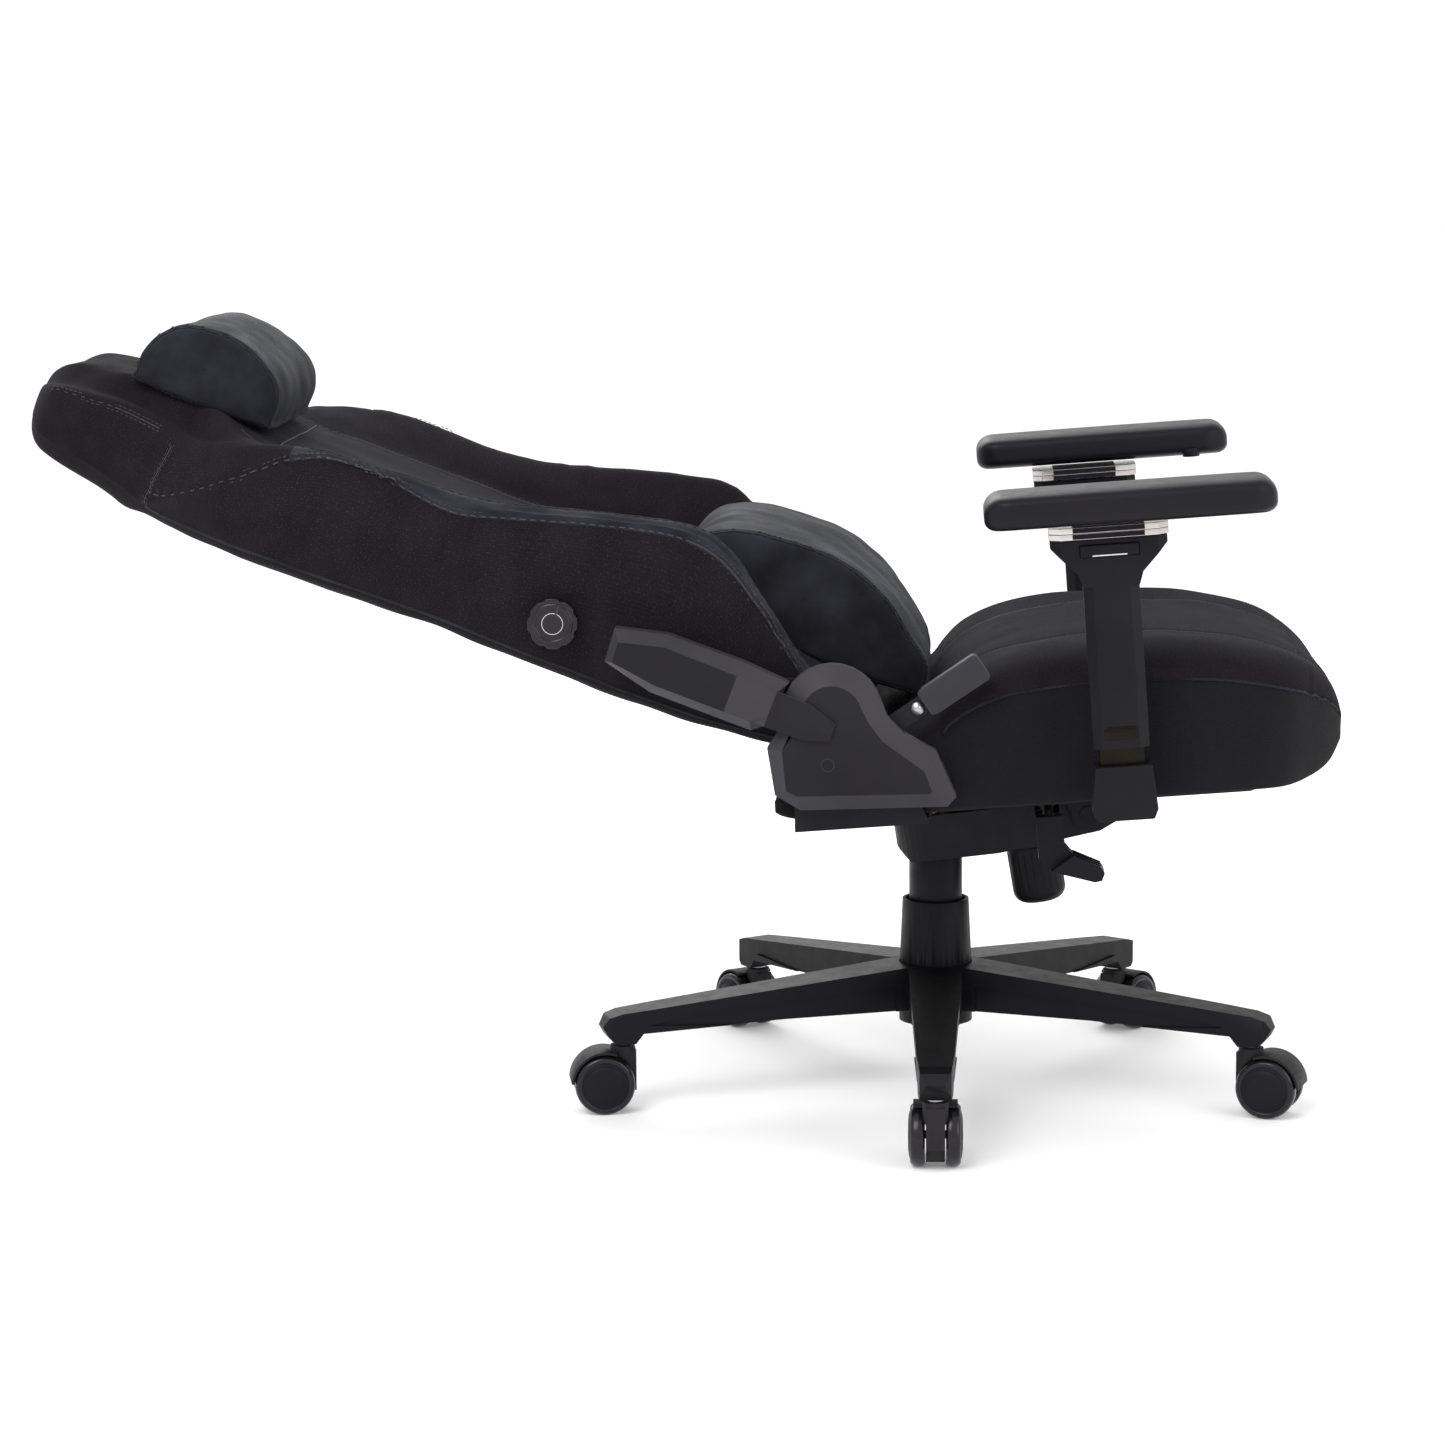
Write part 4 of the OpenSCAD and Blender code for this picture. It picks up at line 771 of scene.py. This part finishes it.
LUMBAR_SECTION = [(24, -68), (38, -77), (58, -74), (79, -47), (104, -14), (121, 30), (124, 80), (118, 139),
                  (103, 170), (80, 183), (42, 185), (24, 176)]
HEAD_SECTION = [(39, 616), (48, 608), (74, 608), (97, 626), (111, 658), (114, 690), (109, 716), (96, 733),
                (72, 748), (48, 750), (39, 742)]


# Share of a pillow's skin in each end panel, and how far a panel bulges, in millimetres
PILLOW_END, BULGE = 0.15, 7


def pillow_surface(section, half):
    """A pillow's skin: u round its section, w across the chair, with bulging end panels."""
    count = len(section)
    cx = sum(p[0] for p in section) / count
    cz = sum(p[1] for p in section) / count
    ring = section + [section[0]]
    lengths = lengths_along(ring)

    def outline(u):
        place = (u % 1.0) * lengths[-1]
        i = max(k for k in range(count) if lengths[k] <= place + 1e-9)
        t = (place - lengths[i]) / (lengths[i + 1] - lengths[i])
        p = [ring[(i - 1) % count], ring[i], ring[(i + 1) % count], ring[(i + 2) % count]]
        return [0.5 * (2 * p[1][k] + (p[2][k] - p[0][k]) * t
                       + (2 * p[0][k] - 5 * p[1][k] + 4 * p[2][k] - p[3][k]) * t * t
                       + (3 * p[1][k] - p[0][k] - 3 * p[2][k] + p[3][k]) * t ** 3) for k in (0, 1)]

    def surface(u, w):
        forward, up = outline(u)
        side = -1 if w < 0.5 else 1
        e = min(w, 1 - w)
        if e < PILLOW_END:
            scale = max(0.02, e / PILLOW_END)
            across = half - BULGE + BULGE * math.sqrt(1 - scale ** 2) * 0.9
        else:
            scale = 1 + 0.012 * math.sin(math.pi * min(1, (e - PILLOW_END) / (0.5 - PILLOW_END)))
            across = (half - BULGE) * (0.5 - e) / (0.5 - PILLOW_END)
        return on_back(cx + (forward - cx) * scale, side * across, cz + (up - cz) * scale)

    def end_ring(side):
        points = []
        for i in range(121):
            forward, up = outline(i / 120 % 1.0)
            points.append(on_back(forward, side * (half - BULGE), up))
        return points

    return surface, end_ring


# ---- upholstery pieces --------------------------------------------------------------------


def near_lines(lines, reach):
    """A function that is 1 on the seam lines and falls to 0 at reach from them."""
    tree = seam_tree(lines)
    return lambda place: max(0.0, 1.0 - tree.find(place)[2] / reach)


def seat_line(share, low, high, steps=60):
    """A line on the seat at one share of its half width, from rear to front."""
    return [seat_surface(share, low + (high - low) * i / steps) for i in range(steps + 1)]


def back_shell():
    """The back's padded shell, with its wings, seams and side bands."""
    sides = (-1, 1)
    side_seams = [back_line(SIDE_SEAM, 0, 30, 690, s) for s in sides]
    head_lines = [back_line(lambda up: CREST(up) - 7, 8, 704, 822, s) for s in sides]
    bindings = [back_line(lambda up: CREST(up) - 3, 17, 20, 556, s) for s in sides]
    wing_seams = [[on_back(BACK_FRONT(up), s * (WING_FOOT(up) - 6), up) for up in range(10, 640, 9)]
                  for s in sides]
    rear_edges = [back_line(lambda up: BACK_REAR(up) + 10, 2, 30, 690, s) for s in sides]
    cross = [[on_back(BACK_FRONT(596) - 2, y, 596) for y in range(-140, 141, 8)]]
    head_cross = [[on_back(2 - 70 * k / 10, s * 176, 692 + 3 * k / 10) for k in range(11)] for s in sides]

    def zone(u, w):
        return 1 if 0.4 < half_turn(u)[1] < 0.52 and back_height(w) < 566 else 0

    bm = loft(back_surface, 104, 150, zone, (1.1, 0.95))
    lines = side_seams + bindings + wing_seams + cross
    hold = near_lines(lines, 0.016)
    bm = puff(bm, 3.0, 0.6 * sizes().plump, lambda place: min(1.0, 2.0 * hold(place)))
    crease(bm, 2.2 * MM, 0.05)
    crease(bm, 1.6 * MM, 0.014, side_seams + bindings, 0.034)
    bm = subdivide(bm)
    press_seams(bm, side_seams + wing_seams, 3.2 * MM, sizes().seam_depth)
    press_seams(bm, bindings + cross + head_cross + head_lines, 2.4 * MM, 0.55 * sizes().seam_depth)
    shell = as_piece("back_shell", bm, "back", "seat_fabric", [FINISHES["fabric"], FINISHES["velour"]])
    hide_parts("back_cushion")
    for name, seams, finish, welt, rows in (
        ("back_side_seams", side_seams, "thread", 0.8, (4.0, -4.0)),
        ("back_bindings", bindings, "velour", 1.2, ()),
        ("back_wing_seams", wing_seams + cross, "thread", 0.7, (3.4,)),
        ("back_rear_piping", rear_edges, "end_velour", 1.6, ()),
        ("back_head_seams", head_cross + head_lines, "thread", 0.6, (3.2, -3.2)),
    ):
        sew(name, shell, seams, "back", "seat_fabric", FINISHES[finish], welt, rows)


def seat_pad():
    """The seat's foam pad, with two long seams and a dark side band."""
    top_seams = [seat_line(u, 0.3, 0.93) for u in (0.1, 0.9)]
    side_seams = [seat_line(u, 0.3, 0.985) for u in (0.25, 0.75)]
    front = [[seat_surface((k / 60 - 0.5) * 0.5 % 1.0, 0.9) for k in range(61)]]

    def zone(u, w):
        return 1 if half_turn(u)[1] > 0.5 or w < 0.2 else 0

    bm = loft(seat_surface, 96, 110, zone, (1.2, 0.75))
    hold = near_lines(top_seams + side_seams, 0.02)
    floor = SEAT_ORIGIN + SEAT_UP * 0.042

    def pinned(place):
        low = 1.0 if (place - floor).dot(SEAT_UP) < 0.0 else 0.0
        rear = 1.0 if (place - SEAT_ORIGIN).dot(SEAT_FORWARD) < 0.03 else 0.0
        return max(low, rear, min(1.0, 1.6 * hold(place)))

    bm = puff(bm, 3.0, 0.8 * sizes().plump, pinned)
    crease(bm, 2.0 * MM, 0.06)
    crease(bm, 2.2 * MM, 0.026, [seat_line(u, 0.1, 0.45) for u in (0.3, 0.34, 0.7, 0.66)], 0.07)
    bm = subdivide(bm)
    press_seams(bm, top_seams + side_seams, 3.0 * MM, sizes().seam_depth)
    press_seams(bm, front, 2.4 * MM, 0.4 * sizes().seam_depth)
    pad = as_piece("seat_pad", bm, "seat", "seat_fabric", [FINISHES["fabric"], FINISHES["seat_side"]])
    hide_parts("seat_cushion")
    sew("seat_top_seams", pad, top_seams, "seat", "seat_fabric", FINISHES["thread"], 0.8, (3.6, -3.6))
    sew("seat_side_seams", pad, side_seams, "seat", "seat_fabric", FINISHES["end_velour"], 1.5, ())


def pillow(name, section, half, body, node):
    """One loose pillow: a velour sleeve with bulging end panels."""
    surface, end_ring = pillow_surface(section, half)

    def zone(_u, w):
        return 1 if min(w, 1 - w) < PILLOW_END else 0

    bm = loft(surface, 96, 72, zone, (0.5, 0.4))
    rings = [end_ring(s) for s in (-1, 1)]
    hold = near_lines(rings, 0.014)
    bm = puff(bm, 4.0, sizes().plump, lambda place: min(1.0, 1.5 * hold(place)))
    crease(bm, 2.4 * MM, 0.045)
    crease(bm, 1.8 * MM, 0.016, rings, 0.035)
    bm = subdivide(bm)
    press_seams(bm, rings, 3.0 * MM, sizes().seam_depth)
    piece = as_piece(name, bm, body, "velour", [FINISHES["velour"], FINISHES["end_velour"]])
    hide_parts(node)
    sew(name + "_seams", piece, rings, body, "velour", FINISHES["end_velour"], 1.2, (3.6,))


def arm_pad_surface(side):
    """A soft arm pad's skin, in the seat's slope."""
    sign = -1 if side == "right" else 1
    start, length, half, thick, base = 66.0, 267.0, 48.0, 33.0, 300.7

    def surface(u, w):
        x = length * (0.5 - 0.5 * math.cos(math.pi * w))
        d = min(x, length - x)
        corner = 1 - min(1.0, d / 26)
        wide = half - 22 + 22 * math.sqrt(max(0.0, 1 - corner ** 2))
        top = thick - 15 + 15 * math.sqrt(max(0.0, 1 - (1 - min(1.0, d / 17)) ** 2))
        bottom = 9 - 9 * math.sqrt(max(0.0, 1 - (1 - min(1.0, d / 12)) ** 2))
        angle = math.tau * u
        c, s = math.cos(angle), math.sin(angle)
        across = wide * math.copysign(abs(c) ** 0.42, c)
        rise = (bottom + top) / 2 + (top - bottom) / 2 * math.copysign(abs(s) ** 0.5, s)
        rise += 0.8 * math.sin(math.pi * w) * (1 if s > 0 else 0)
        return on_seat(start + x, sign * 323.0 + across, base + rise)

    return surface


def arm_pads():
    """Both soft pads on the armrests."""
    for side in ("right", "left"):
        bm = loft(arm_pad_surface(side), 72, 72)
        bm = subdivide(bm)
        pad = as_piece(f"arm_{side}_soft_pad", bm, f"arm_{side}_pad", "arm_pad", [FINISHES["arm_pad"]])
        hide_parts(f"arm_{side}_pad")


# ---- hard pieces --------------------------------------------------------------------------

# Node, finish, edge rounding against the usual one
HARD_NODES = {
    "base": (("base_star", "base", 1.2), ("column_tube", "steel_black", 0.5), ("lower_shroud", "base", 0.5),
             ("upper_shroud", "base", 0.4), ("guide_bush", "bush", 0.2), ("thrust_bearing", "bright", 0.2),
             ("caster_stems", "bright", 0.3), ("piston_rod", "bright", 0.3),
             ("gas_cylinder", "steel_black", 0.4), ("valve_pin", "brass", 0.2)),
    "mechanism": (("mechanism_housing", "steel_black", 0.9), ("tilt_shaft", "steel_black", 0.4),
                  ("tension_knob", "base", 0.6), ("spring_yoke", "steel_black", 0.4),
                  ("lever_bush", "steel_black", 0.3), ("lever_rod", "steel_black", 0.4),
                  ("lever_handle", "base", 0.9), ("seat_plate", "steel_black", 0.5),
                  # The seat board takes the near-black plywood colour, a painted shade.
                  ("seat_bolts", "bright", 0.3), ("seat_board", "plywood", 0.6)),
    "recliner": (("recliner_plates", "steel_black", 0.5), ("recliner_pins", "bright", 0.3),
                 ("recline_lever_bar", "steel_black", 0.5), ("back_frame", "steel_black", 0.0),
                 ("back_arm_plates", "steel_black", 0.5), ("back_bolts", "bright", 0.3),
                 ("lumbar_knob", "wheel", 1.0), ("lumbar_plate", "bush", 0.5)),
    "armrests": (("arm_feet", "post", 1.3), ("arm_posts", "dark_chrome", 1.0),
                 *((f"arm_{side}_{part}", "post", rounding) for side in ("right", "left")
                   for part, rounding in (("sleeve", 0.7), ("button", 0.7), ("pad_button", 0.4)))),
    "casters": tuple((f"caster_{i}_hood", "fender", 0.8) for i in range(1, 6)),
}


def finish_node(node, finish, rounding):
    """Gives a frame node its finish, joins its flat faces and rounds its edges."""
    thing = frame["nodes"][node]
    thing.data.materials.clear()
    thing.data.materials.append(FINISHES[finish])
    weld = thing.modifiers.new("join", "WELD")
    weld.merge_threshold = 2e-6
    flat = thing.modifiers.new("flatten", "DECIMATE")
    flat.decimate_type = "DISSOLVE"
    flat.angle_limit = math.radians(1.0)
    if rounding:
        round_edges = thing.modifiers.new("round", "BEVEL")
        round_edges.width = rounding * sizes().edge
        round_edges.segments = 2
        round_edges.limit_method = "ANGLE"
        round_edges.angle_limit = math.radians(30)
        round_edges.harden_normals = True
    return thing


def finish_group(group):
    """Finishes every frame node of one group."""
    for node, finish, rounding in HARD_NODES[group]:
        finish_node(node, finish, rounding)


def spun(profile, centre, axis, steps=56):
    """Spins a profile of (radius, along) pairs in millimetres about an axis through centre."""
    axis = Vector(axis).normalized()
    across = axis.orthogonal().normalized()
    bm = bmesh.new()
    verts = [bm.verts.new(centre + (across * r + axis * along) * MM) for r, along in profile]
    for a, b in zip(verts, verts[1:]):
        bm.edges.new((a, b))
    bmesh.ops.spin(bm, geom=bm.verts[:] + bm.edges[:], cent=centre, axis=axis, angle=math.tau, steps=steps,
                   use_merge=True)
    bmesh.ops.remove_doubles(bm, verts=bm.verts, dist=1e-6)
    bmesh.ops.recalc_face_normals(bm, faces=bm.faces)
    return bm


WHEEL_HALF = [(0, 26), (14, 25.8), (19.6, 25.1), (20.2, 24.4), (20.8, 24.9), (22.6, 24.2), (23.1, 23.2),
              (23.6, 23.9), (25.8, 24.1), (27.6, 23.4), (29.0, 21.8), (29.8, 19.6), (30, 16), (29.8, 12.2),
              (29, 10.2), (27, 10), (4, 10)]


def caster_wheels():
    """A pair of wheels on its axle for each caster."""
    profile = WHEEL_HALF + [(r, -along) for r, along in reversed(WHEEL_HALF)]
    for i in range(1, 6):
        joint = JOINTS[f"caster_{i}_roll"]
        centre, axis = Vector(joint["pos_m"]), Vector(joint["axis"])
        bm = spun(profile, centre, axis)
        for face in bm.faces:
            middle = face.calc_center_median() - centre
            radius = (middle - axis * middle.dot(axis)).length
            face.material_index = 1 if radius < 0.0235 else 0
        wheels = as_piece(f"caster_{i}_twin_wheels", bm, f"caster_{i}_rollers", "wheel_plastic",
                          [FINISHES["wheel"], FINISHES["post"]])
        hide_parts(f"caster_{i}_wheels")


def small_plate(name, centre, forward, up, size, thick, body, slot, finish):
    """A small rounded plate that stands out from a side face."""
    bm = bmesh.new()
    bmesh.ops.create_cube(bm, size=1.0)
    out = forward.cross(up).normalized()
    bmesh.ops.scale(bm, vec=(size[0] * MM, thick * MM, size[1] * MM), verts=bm.verts)
    upright = [e for e in bm.edges if abs((e.verts[0].co - e.verts[1].co).normalized().y) > 0.9]
    bmesh.ops.bevel(bm, geom=upright, offset=min(size) * 0.3 * MM, segments=5, profile=0.5, affect="EDGES",
                    material=-1)
    rim = [e for e in bm.edges if len(e.link_faces) == 2 and e.calc_face_angle(0) > 0.8]
    bmesh.ops.bevel(bm, geom=rim, offset=0.25 * thick * MM, segments=2, profile=0.5, affect="EDGES",
                    material=-1)
    turn = Matrix((forward, out, up)).transposed().to_4x4()
    bmesh.ops.transform(bm, matrix=Matrix.Translation(centre) @ turn, verts=bm.verts)
    bmesh.ops.recalc_face_normals(bm, faces=bm.faces)
    return as_piece(name, bm, body, slot, [finish])


def side_covers():
    """Moulded side covers and lever grip; the lighter colour on their bevels and rims round the dark flats is a
    painted highlight.
    """
    out = (FINISHES["trim"], FINISHES["trim_edge_highlight"])

    # Faces that do not face sideways take the lighter colour, a painted highlight on the bevels and rims.
    def flats(_place, normal):
        return 0 if abs(normal.y) > 0.97 else 1

    refine("lower_covers", "side_covers_low", out, 0.9 * sizes().edge, flats)
    # The side faces between 56 and 96 mm up get a lighter colour, a painted highlight standing in for light on the
    # real cover's facet.
    bands = (on_back(0, 0, 56), on_back(0, 0, 96))

    def facets(place, normal):
        if abs(normal.y) <= 0.97:
            return 1
        return 2 if bands[0].dot(BACK_UP) < place.dot(BACK_UP) < bands[1].dot(BACK_UP) else 0

    refine("upper_covers", "side_covers_high", (*out, FINISHES["facet"]), 0.9 * sizes().edge, facets,
           [(place, BACK_UP) for place in bands])
    refine("recline_lever_grip", "lever_grip", (FINISHES["grip"], FINISHES["trim_edge_highlight"]), sizes().edge, flats)


def armrest_slides():
    """Turntables and sliders, bright at their ends and black between."""
    for side in ("right", "left"):
        for node in ("turntable", "slider"):
            low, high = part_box(f"arm_{side}_{node}")
            middle = (low + high) / 2
            half = 0.3 * (high.x - low.x)
            cuts = [(middle + SEAT_FORWARD * k * half, SEAT_FORWARD) for k in (-1, 1)]

            def ends(place, _normal):
                return 1 if abs((place - middle).dot(SEAT_FORWARD)) > half else 0

            refine(f"arm_{side}_{node}", f"arm_{side}_{node}_plate", (FINISHES["post"], FINISHES["chrome"]),
                   0.4 * MM, ends, cuts)


def recliner_details():
    """Bolt on the lever, moulded circles on the side covers and a mark on the lumbar dial."""
    right = Vector((0.0, -1.0, 0.0))
    head = [(0, 3.4), (3.2, 3.1), (3.6, 2.6), (5.4, 2.2), (6.4, 0.8), (6.6, -0.4), (0, -0.4)]
    bolt = spun(head, on_seat(-7.8, -272.4, 132), right, 32)
    as_piece("lever_bolt", bolt, "recline_handle", "bright_steel", [FINISHES["bright"]])
    ring = [(5.4, -0.3), (5.5, 0.4), (6.0, 0.6), (6.6, 0.4), (6.7, -0.3), (5.4, -0.3)]
    for side, sign in (("right", -1), ("left", 1)):
        circle = spun(ring, on_seat(-95, sign * 297.8, 88), right * (-sign), 40)
        as_piece(f"cover_{side}_circle", circle, "seat", "trim_plastic", [FINISHES["grip"]])
    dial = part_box("lumbar_knob")[0]
    mark = on_back(-17 + 14, 0, 276)
    mark.y = dial.y - 0.0002
    small_plate("dial_mark", mark, BACK_FORWARD, BACK_UP, (9, 1.6), 0.9, "lumbar_dial", "trim_plastic",
                FINISHES["facet"])
    for name, near, far, finish in (("dial_circle", 9.6, 10.3, "bush"), ("dial_rim", 15.5, 19.5, "wheel")):
        ring = [(near, -0.3), (near + 0.1, 0.35), (far - 0.1, 0.35), (far, -0.3), (near, -0.3)]
        middle = on_back(-17, 0, 276)
        middle.y = dial.y
        as_piece(name, spun(ring, middle, right, 48), "lumbar_dial", "trim_plastic", [FINISHES[finish]])


def armrest_details():
    """Blank plates on the outer faces of the armrest sleeves."""
    for side, sign in (("right", -1), ("left", 1)):
        low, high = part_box(f"arm_{side}_sleeve")
        face = low.y if sign < 0 else high.y
        centre = on_seat(179, 0, 103)
        centre.y = face + 0.0001 * sign
        small_plate(f"arm_{side}_plate", centre, SEAT_FORWARD, SEAT_UP, (31, 12), 1.0, f"arm_{side}",
                    "trim_plastic", FINISHES["dark_chrome"])
        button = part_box(f"arm_{side}_button")
        line = (button[0] + button[1]) / 2 - SEAT_UP * (0.5 * (button[1].z - button[0].z) - 3.2 * MM)
        line.y = (button[0].y if sign < 0 else button[1].y) + 0.0002 * sign
        small_plate(f"arm_{side}_button_line", line, SEAT_FORWARD, SEAT_UP, (32, 1.4), 0.6,
                    f"arm_{side}_button", "chrome", FINISHES["chrome"])


# ---- stage --------------------------------------------------------------------------------


def soft_light(name, place, aim, size, power):
    """A square area light pointed at a place."""
    lamp = bpy.data.lights.new(name, "AREA")
    lamp.size = size
    lamp.energy = power
    light = bpy.data.objects.new(name, lamp)
    light.location = place
    light.rotation_mode = "QUATERNION"
    light.rotation_quaternion = (Vector(aim) - Vector(place)).to_track_quat("-Z", "Y")
    bpy.context.scene.collection.objects.link(light)


def set_stage():
    """Pale floor, soft studio light and the camera."""
    scene = bpy.context.scene
    floor_material = bpy.data.materials.new("Studio floor")
    floor_material.use_nodes = True
    shader = floor_material.node_tree.nodes["Principled BSDF"]
    for label, value in (("Base Color", (0.93, 0.93, 0.93, 1)), ("Roughness", 0.9),
                         ("Specular IOR Level", 0.1), ("Emission Color", (1, 1, 1, 1)),
                         ("Emission Strength", 0.14)):
        shader.inputs[label].default_value = value
    bm = bmesh.new()
    bmesh.ops.create_grid(bm, x_segments=8, y_segments=8, size=30)
    mesh = bpy.data.meshes.new("studio_floor")
    bm.to_mesh(mesh)
    bm.free()
    mesh.materials.append(floor_material)
    floor = bpy.data.objects.new("studio_floor", mesh)
    scene.collection.objects.link(floor)
    world = bpy.data.worlds.new("Studio")
    world.use_nodes = True
    backdrop = world.node_tree.nodes["Background"].inputs
    backdrop["Color"].default_value = (1, 1, 1, 1)
    backdrop["Strength"].default_value = 1.0
    scene.world = world
    soft_light("key", (-1.6, -3.2, 3.4), (-0.2, 0, 0.45), 2.2, 95)
    soft_light("fill", (3.0, -2.4, 1.9), (0.0, 0, 0.4), 2.4, 40)
    soft_light("rim", (-1.2, 2.8, 2.6), (-0.2, 0, 0.5), 2.4, 60)
    scene.view_settings.view_transform = "Standard"
    scene.view_settings.look = "None"
    lens = bpy.data.cameras.new("camera")
    lens.sensor_width = 36
    lens.lens = 99.93
    lens.clip_end = 60
    camera = bpy.data.objects.new("camera", lens)
    pitch, yaw, roll = 0.1507, -0.0537, -0.0077
    right = Vector((math.cos(yaw), -math.sin(yaw), 0))
    ahead = Vector((math.sin(yaw) * math.cos(pitch), math.cos(yaw) * math.cos(pitch), -math.sin(pitch)))
    above = right.cross(ahead)
    across = right * math.cos(roll) + above * math.sin(roll)
    rise = above * math.cos(roll) - right * math.sin(roll)
    turn = Matrix((across, rise, -ahead)).transposed().to_4x4()
    camera.matrix_world = Matrix.Translation((0, -4.0, 0.9846)) @ turn
    scene.collection.objects.link(camera)
    scene.camera = camera


# ---- operators ----------------------------------------------------------------------------


class CHAIR_OT_finishes(bpy.types.Operator):
    """Make the finishes"""

    bl_idname = "chair.finishes"
    bl_label = "Finishes"

    def execute(self, context):
        return build_finishes()


class CHAIR_OT_back(bpy.types.Operator):
    """Upholster the back"""

    bl_idname = "chair.back"
    bl_label = "Back"

    def execute(self, context):
        back_shell()
        return {"FINISHED"}


class CHAIR_OT_seat(bpy.types.Operator):
    """Upholster the seat"""

    bl_idname = "chair.seat"
    bl_label = "Seat"

    def execute(self, context):
        seat_pad()
        return {"FINISHED"}


class CHAIR_OT_pillows(bpy.types.Operator):
    """Sew the head and lumbar pillows"""

    bl_idname = "chair.pillows"
    bl_label = "Pillows"

    def execute(self, context):
        pillow("head_cushion", HEAD_SECTION, 130, "head_pillow", "head_pillow")
        pillow("lumbar_cushion", LUMBAR_SECTION, 150, "lumbar_pillow", "lumbar_pillow")
        return {"FINISHED"}


class CHAIR_OT_armrests(bpy.types.Operator):
    """Finish the armrests and their soft pads"""

    bl_idname = "chair.armrests"
    bl_label = "Armrests"

    def execute(self, context):
        finish_group("armrests")
        armrest_slides()
        arm_pads()
        armrest_details()
        return {"FINISHED"}


class CHAIR_OT_recliner(bpy.types.Operator):
    """Finish the side covers, lever, hinges and lumbar dial"""

    bl_idname = "chair.recliner"
    bl_label = "Recliner"

    def execute(self, context):
        finish_group("recliner")
        side_covers()
        recliner_details()
        return {"FINISHED"}


class CHAIR_OT_mechanism(bpy.types.Operator):
    """Finish the tilt mechanism and the control lever"""

    bl_idname = "chair.mechanism"
    bl_label = "Mechanism"

    def execute(self, context):
        finish_group("mechanism")
        return {"FINISHED"}


class CHAIR_OT_base(bpy.types.Operator):
    """Finish the base, gas column and casters"""

    bl_idname = "chair.base"
    bl_label = "Base and casters"

    def execute(self, context):
        finish_group("base")
        finish_group("casters")
        caster_wheels()
        finish_node("tension_spring", "bright", 0)
        return {"FINISHED"}


class CHAIR_OT_stage(bpy.types.Operator):
    """Set the floor, lights and camera"""

    bl_idname = "chair.stage"
    bl_label = "Stage"

    def execute(self, context):
        set_stage()
        return {"FINISHED"}


STEPS = (CHAIR_OT_finishes, CHAIR_OT_back, CHAIR_OT_seat, CHAIR_OT_pillows, CHAIR_OT_armrests,
         CHAIR_OT_recliner, CHAIR_OT_mechanism, CHAIR_OT_base, CHAIR_OT_stage)


class CHAIR_PT_panel(bpy.types.Panel):
    """The chair's steps, sizes and colours"""

    bl_idname = "CHAIR_PT_panel"
    bl_label = "Gaming chair"
    bl_space_type = "VIEW_3D"
    bl_region_type = "UI"
    bl_category = "Chair"

    def draw(self, context):
        for group in (context.scene.chair_colours, context.scene.chair_sizes):
            for label in group.bl_rna.properties.keys():
                if label not in ("rna_type", "name"):
                    self.layout.prop(group, label)
        for step in STEPS:
            self.layout.operator(step.bl_idname)


CLASSES = (ChairColours, ChairSizes) + STEPS + (CHAIR_PT_panel,)


def register():
    for cls in CLASSES:
        bpy.utils.register_class(cls)
    bpy.types.Scene.chair_colours = bpy.props.PointerProperty(type=ChairColours)
    bpy.types.Scene.chair_sizes = bpy.props.PointerProperty(type=ChairSizes)


def unregister():
    del bpy.types.Scene.chair_sizes
    del bpy.types.Scene.chair_colours
    for cls in reversed(CLASSES):
        bpy.utils.unregister_class(cls)


def main():
    """Builds every piece in order."""
    register()
    for step in STEPS:
        family, action = step.bl_idname.split(".")
        getattr(getattr(bpy.ops, family), action)()


if __name__ == "__main__":
    main()
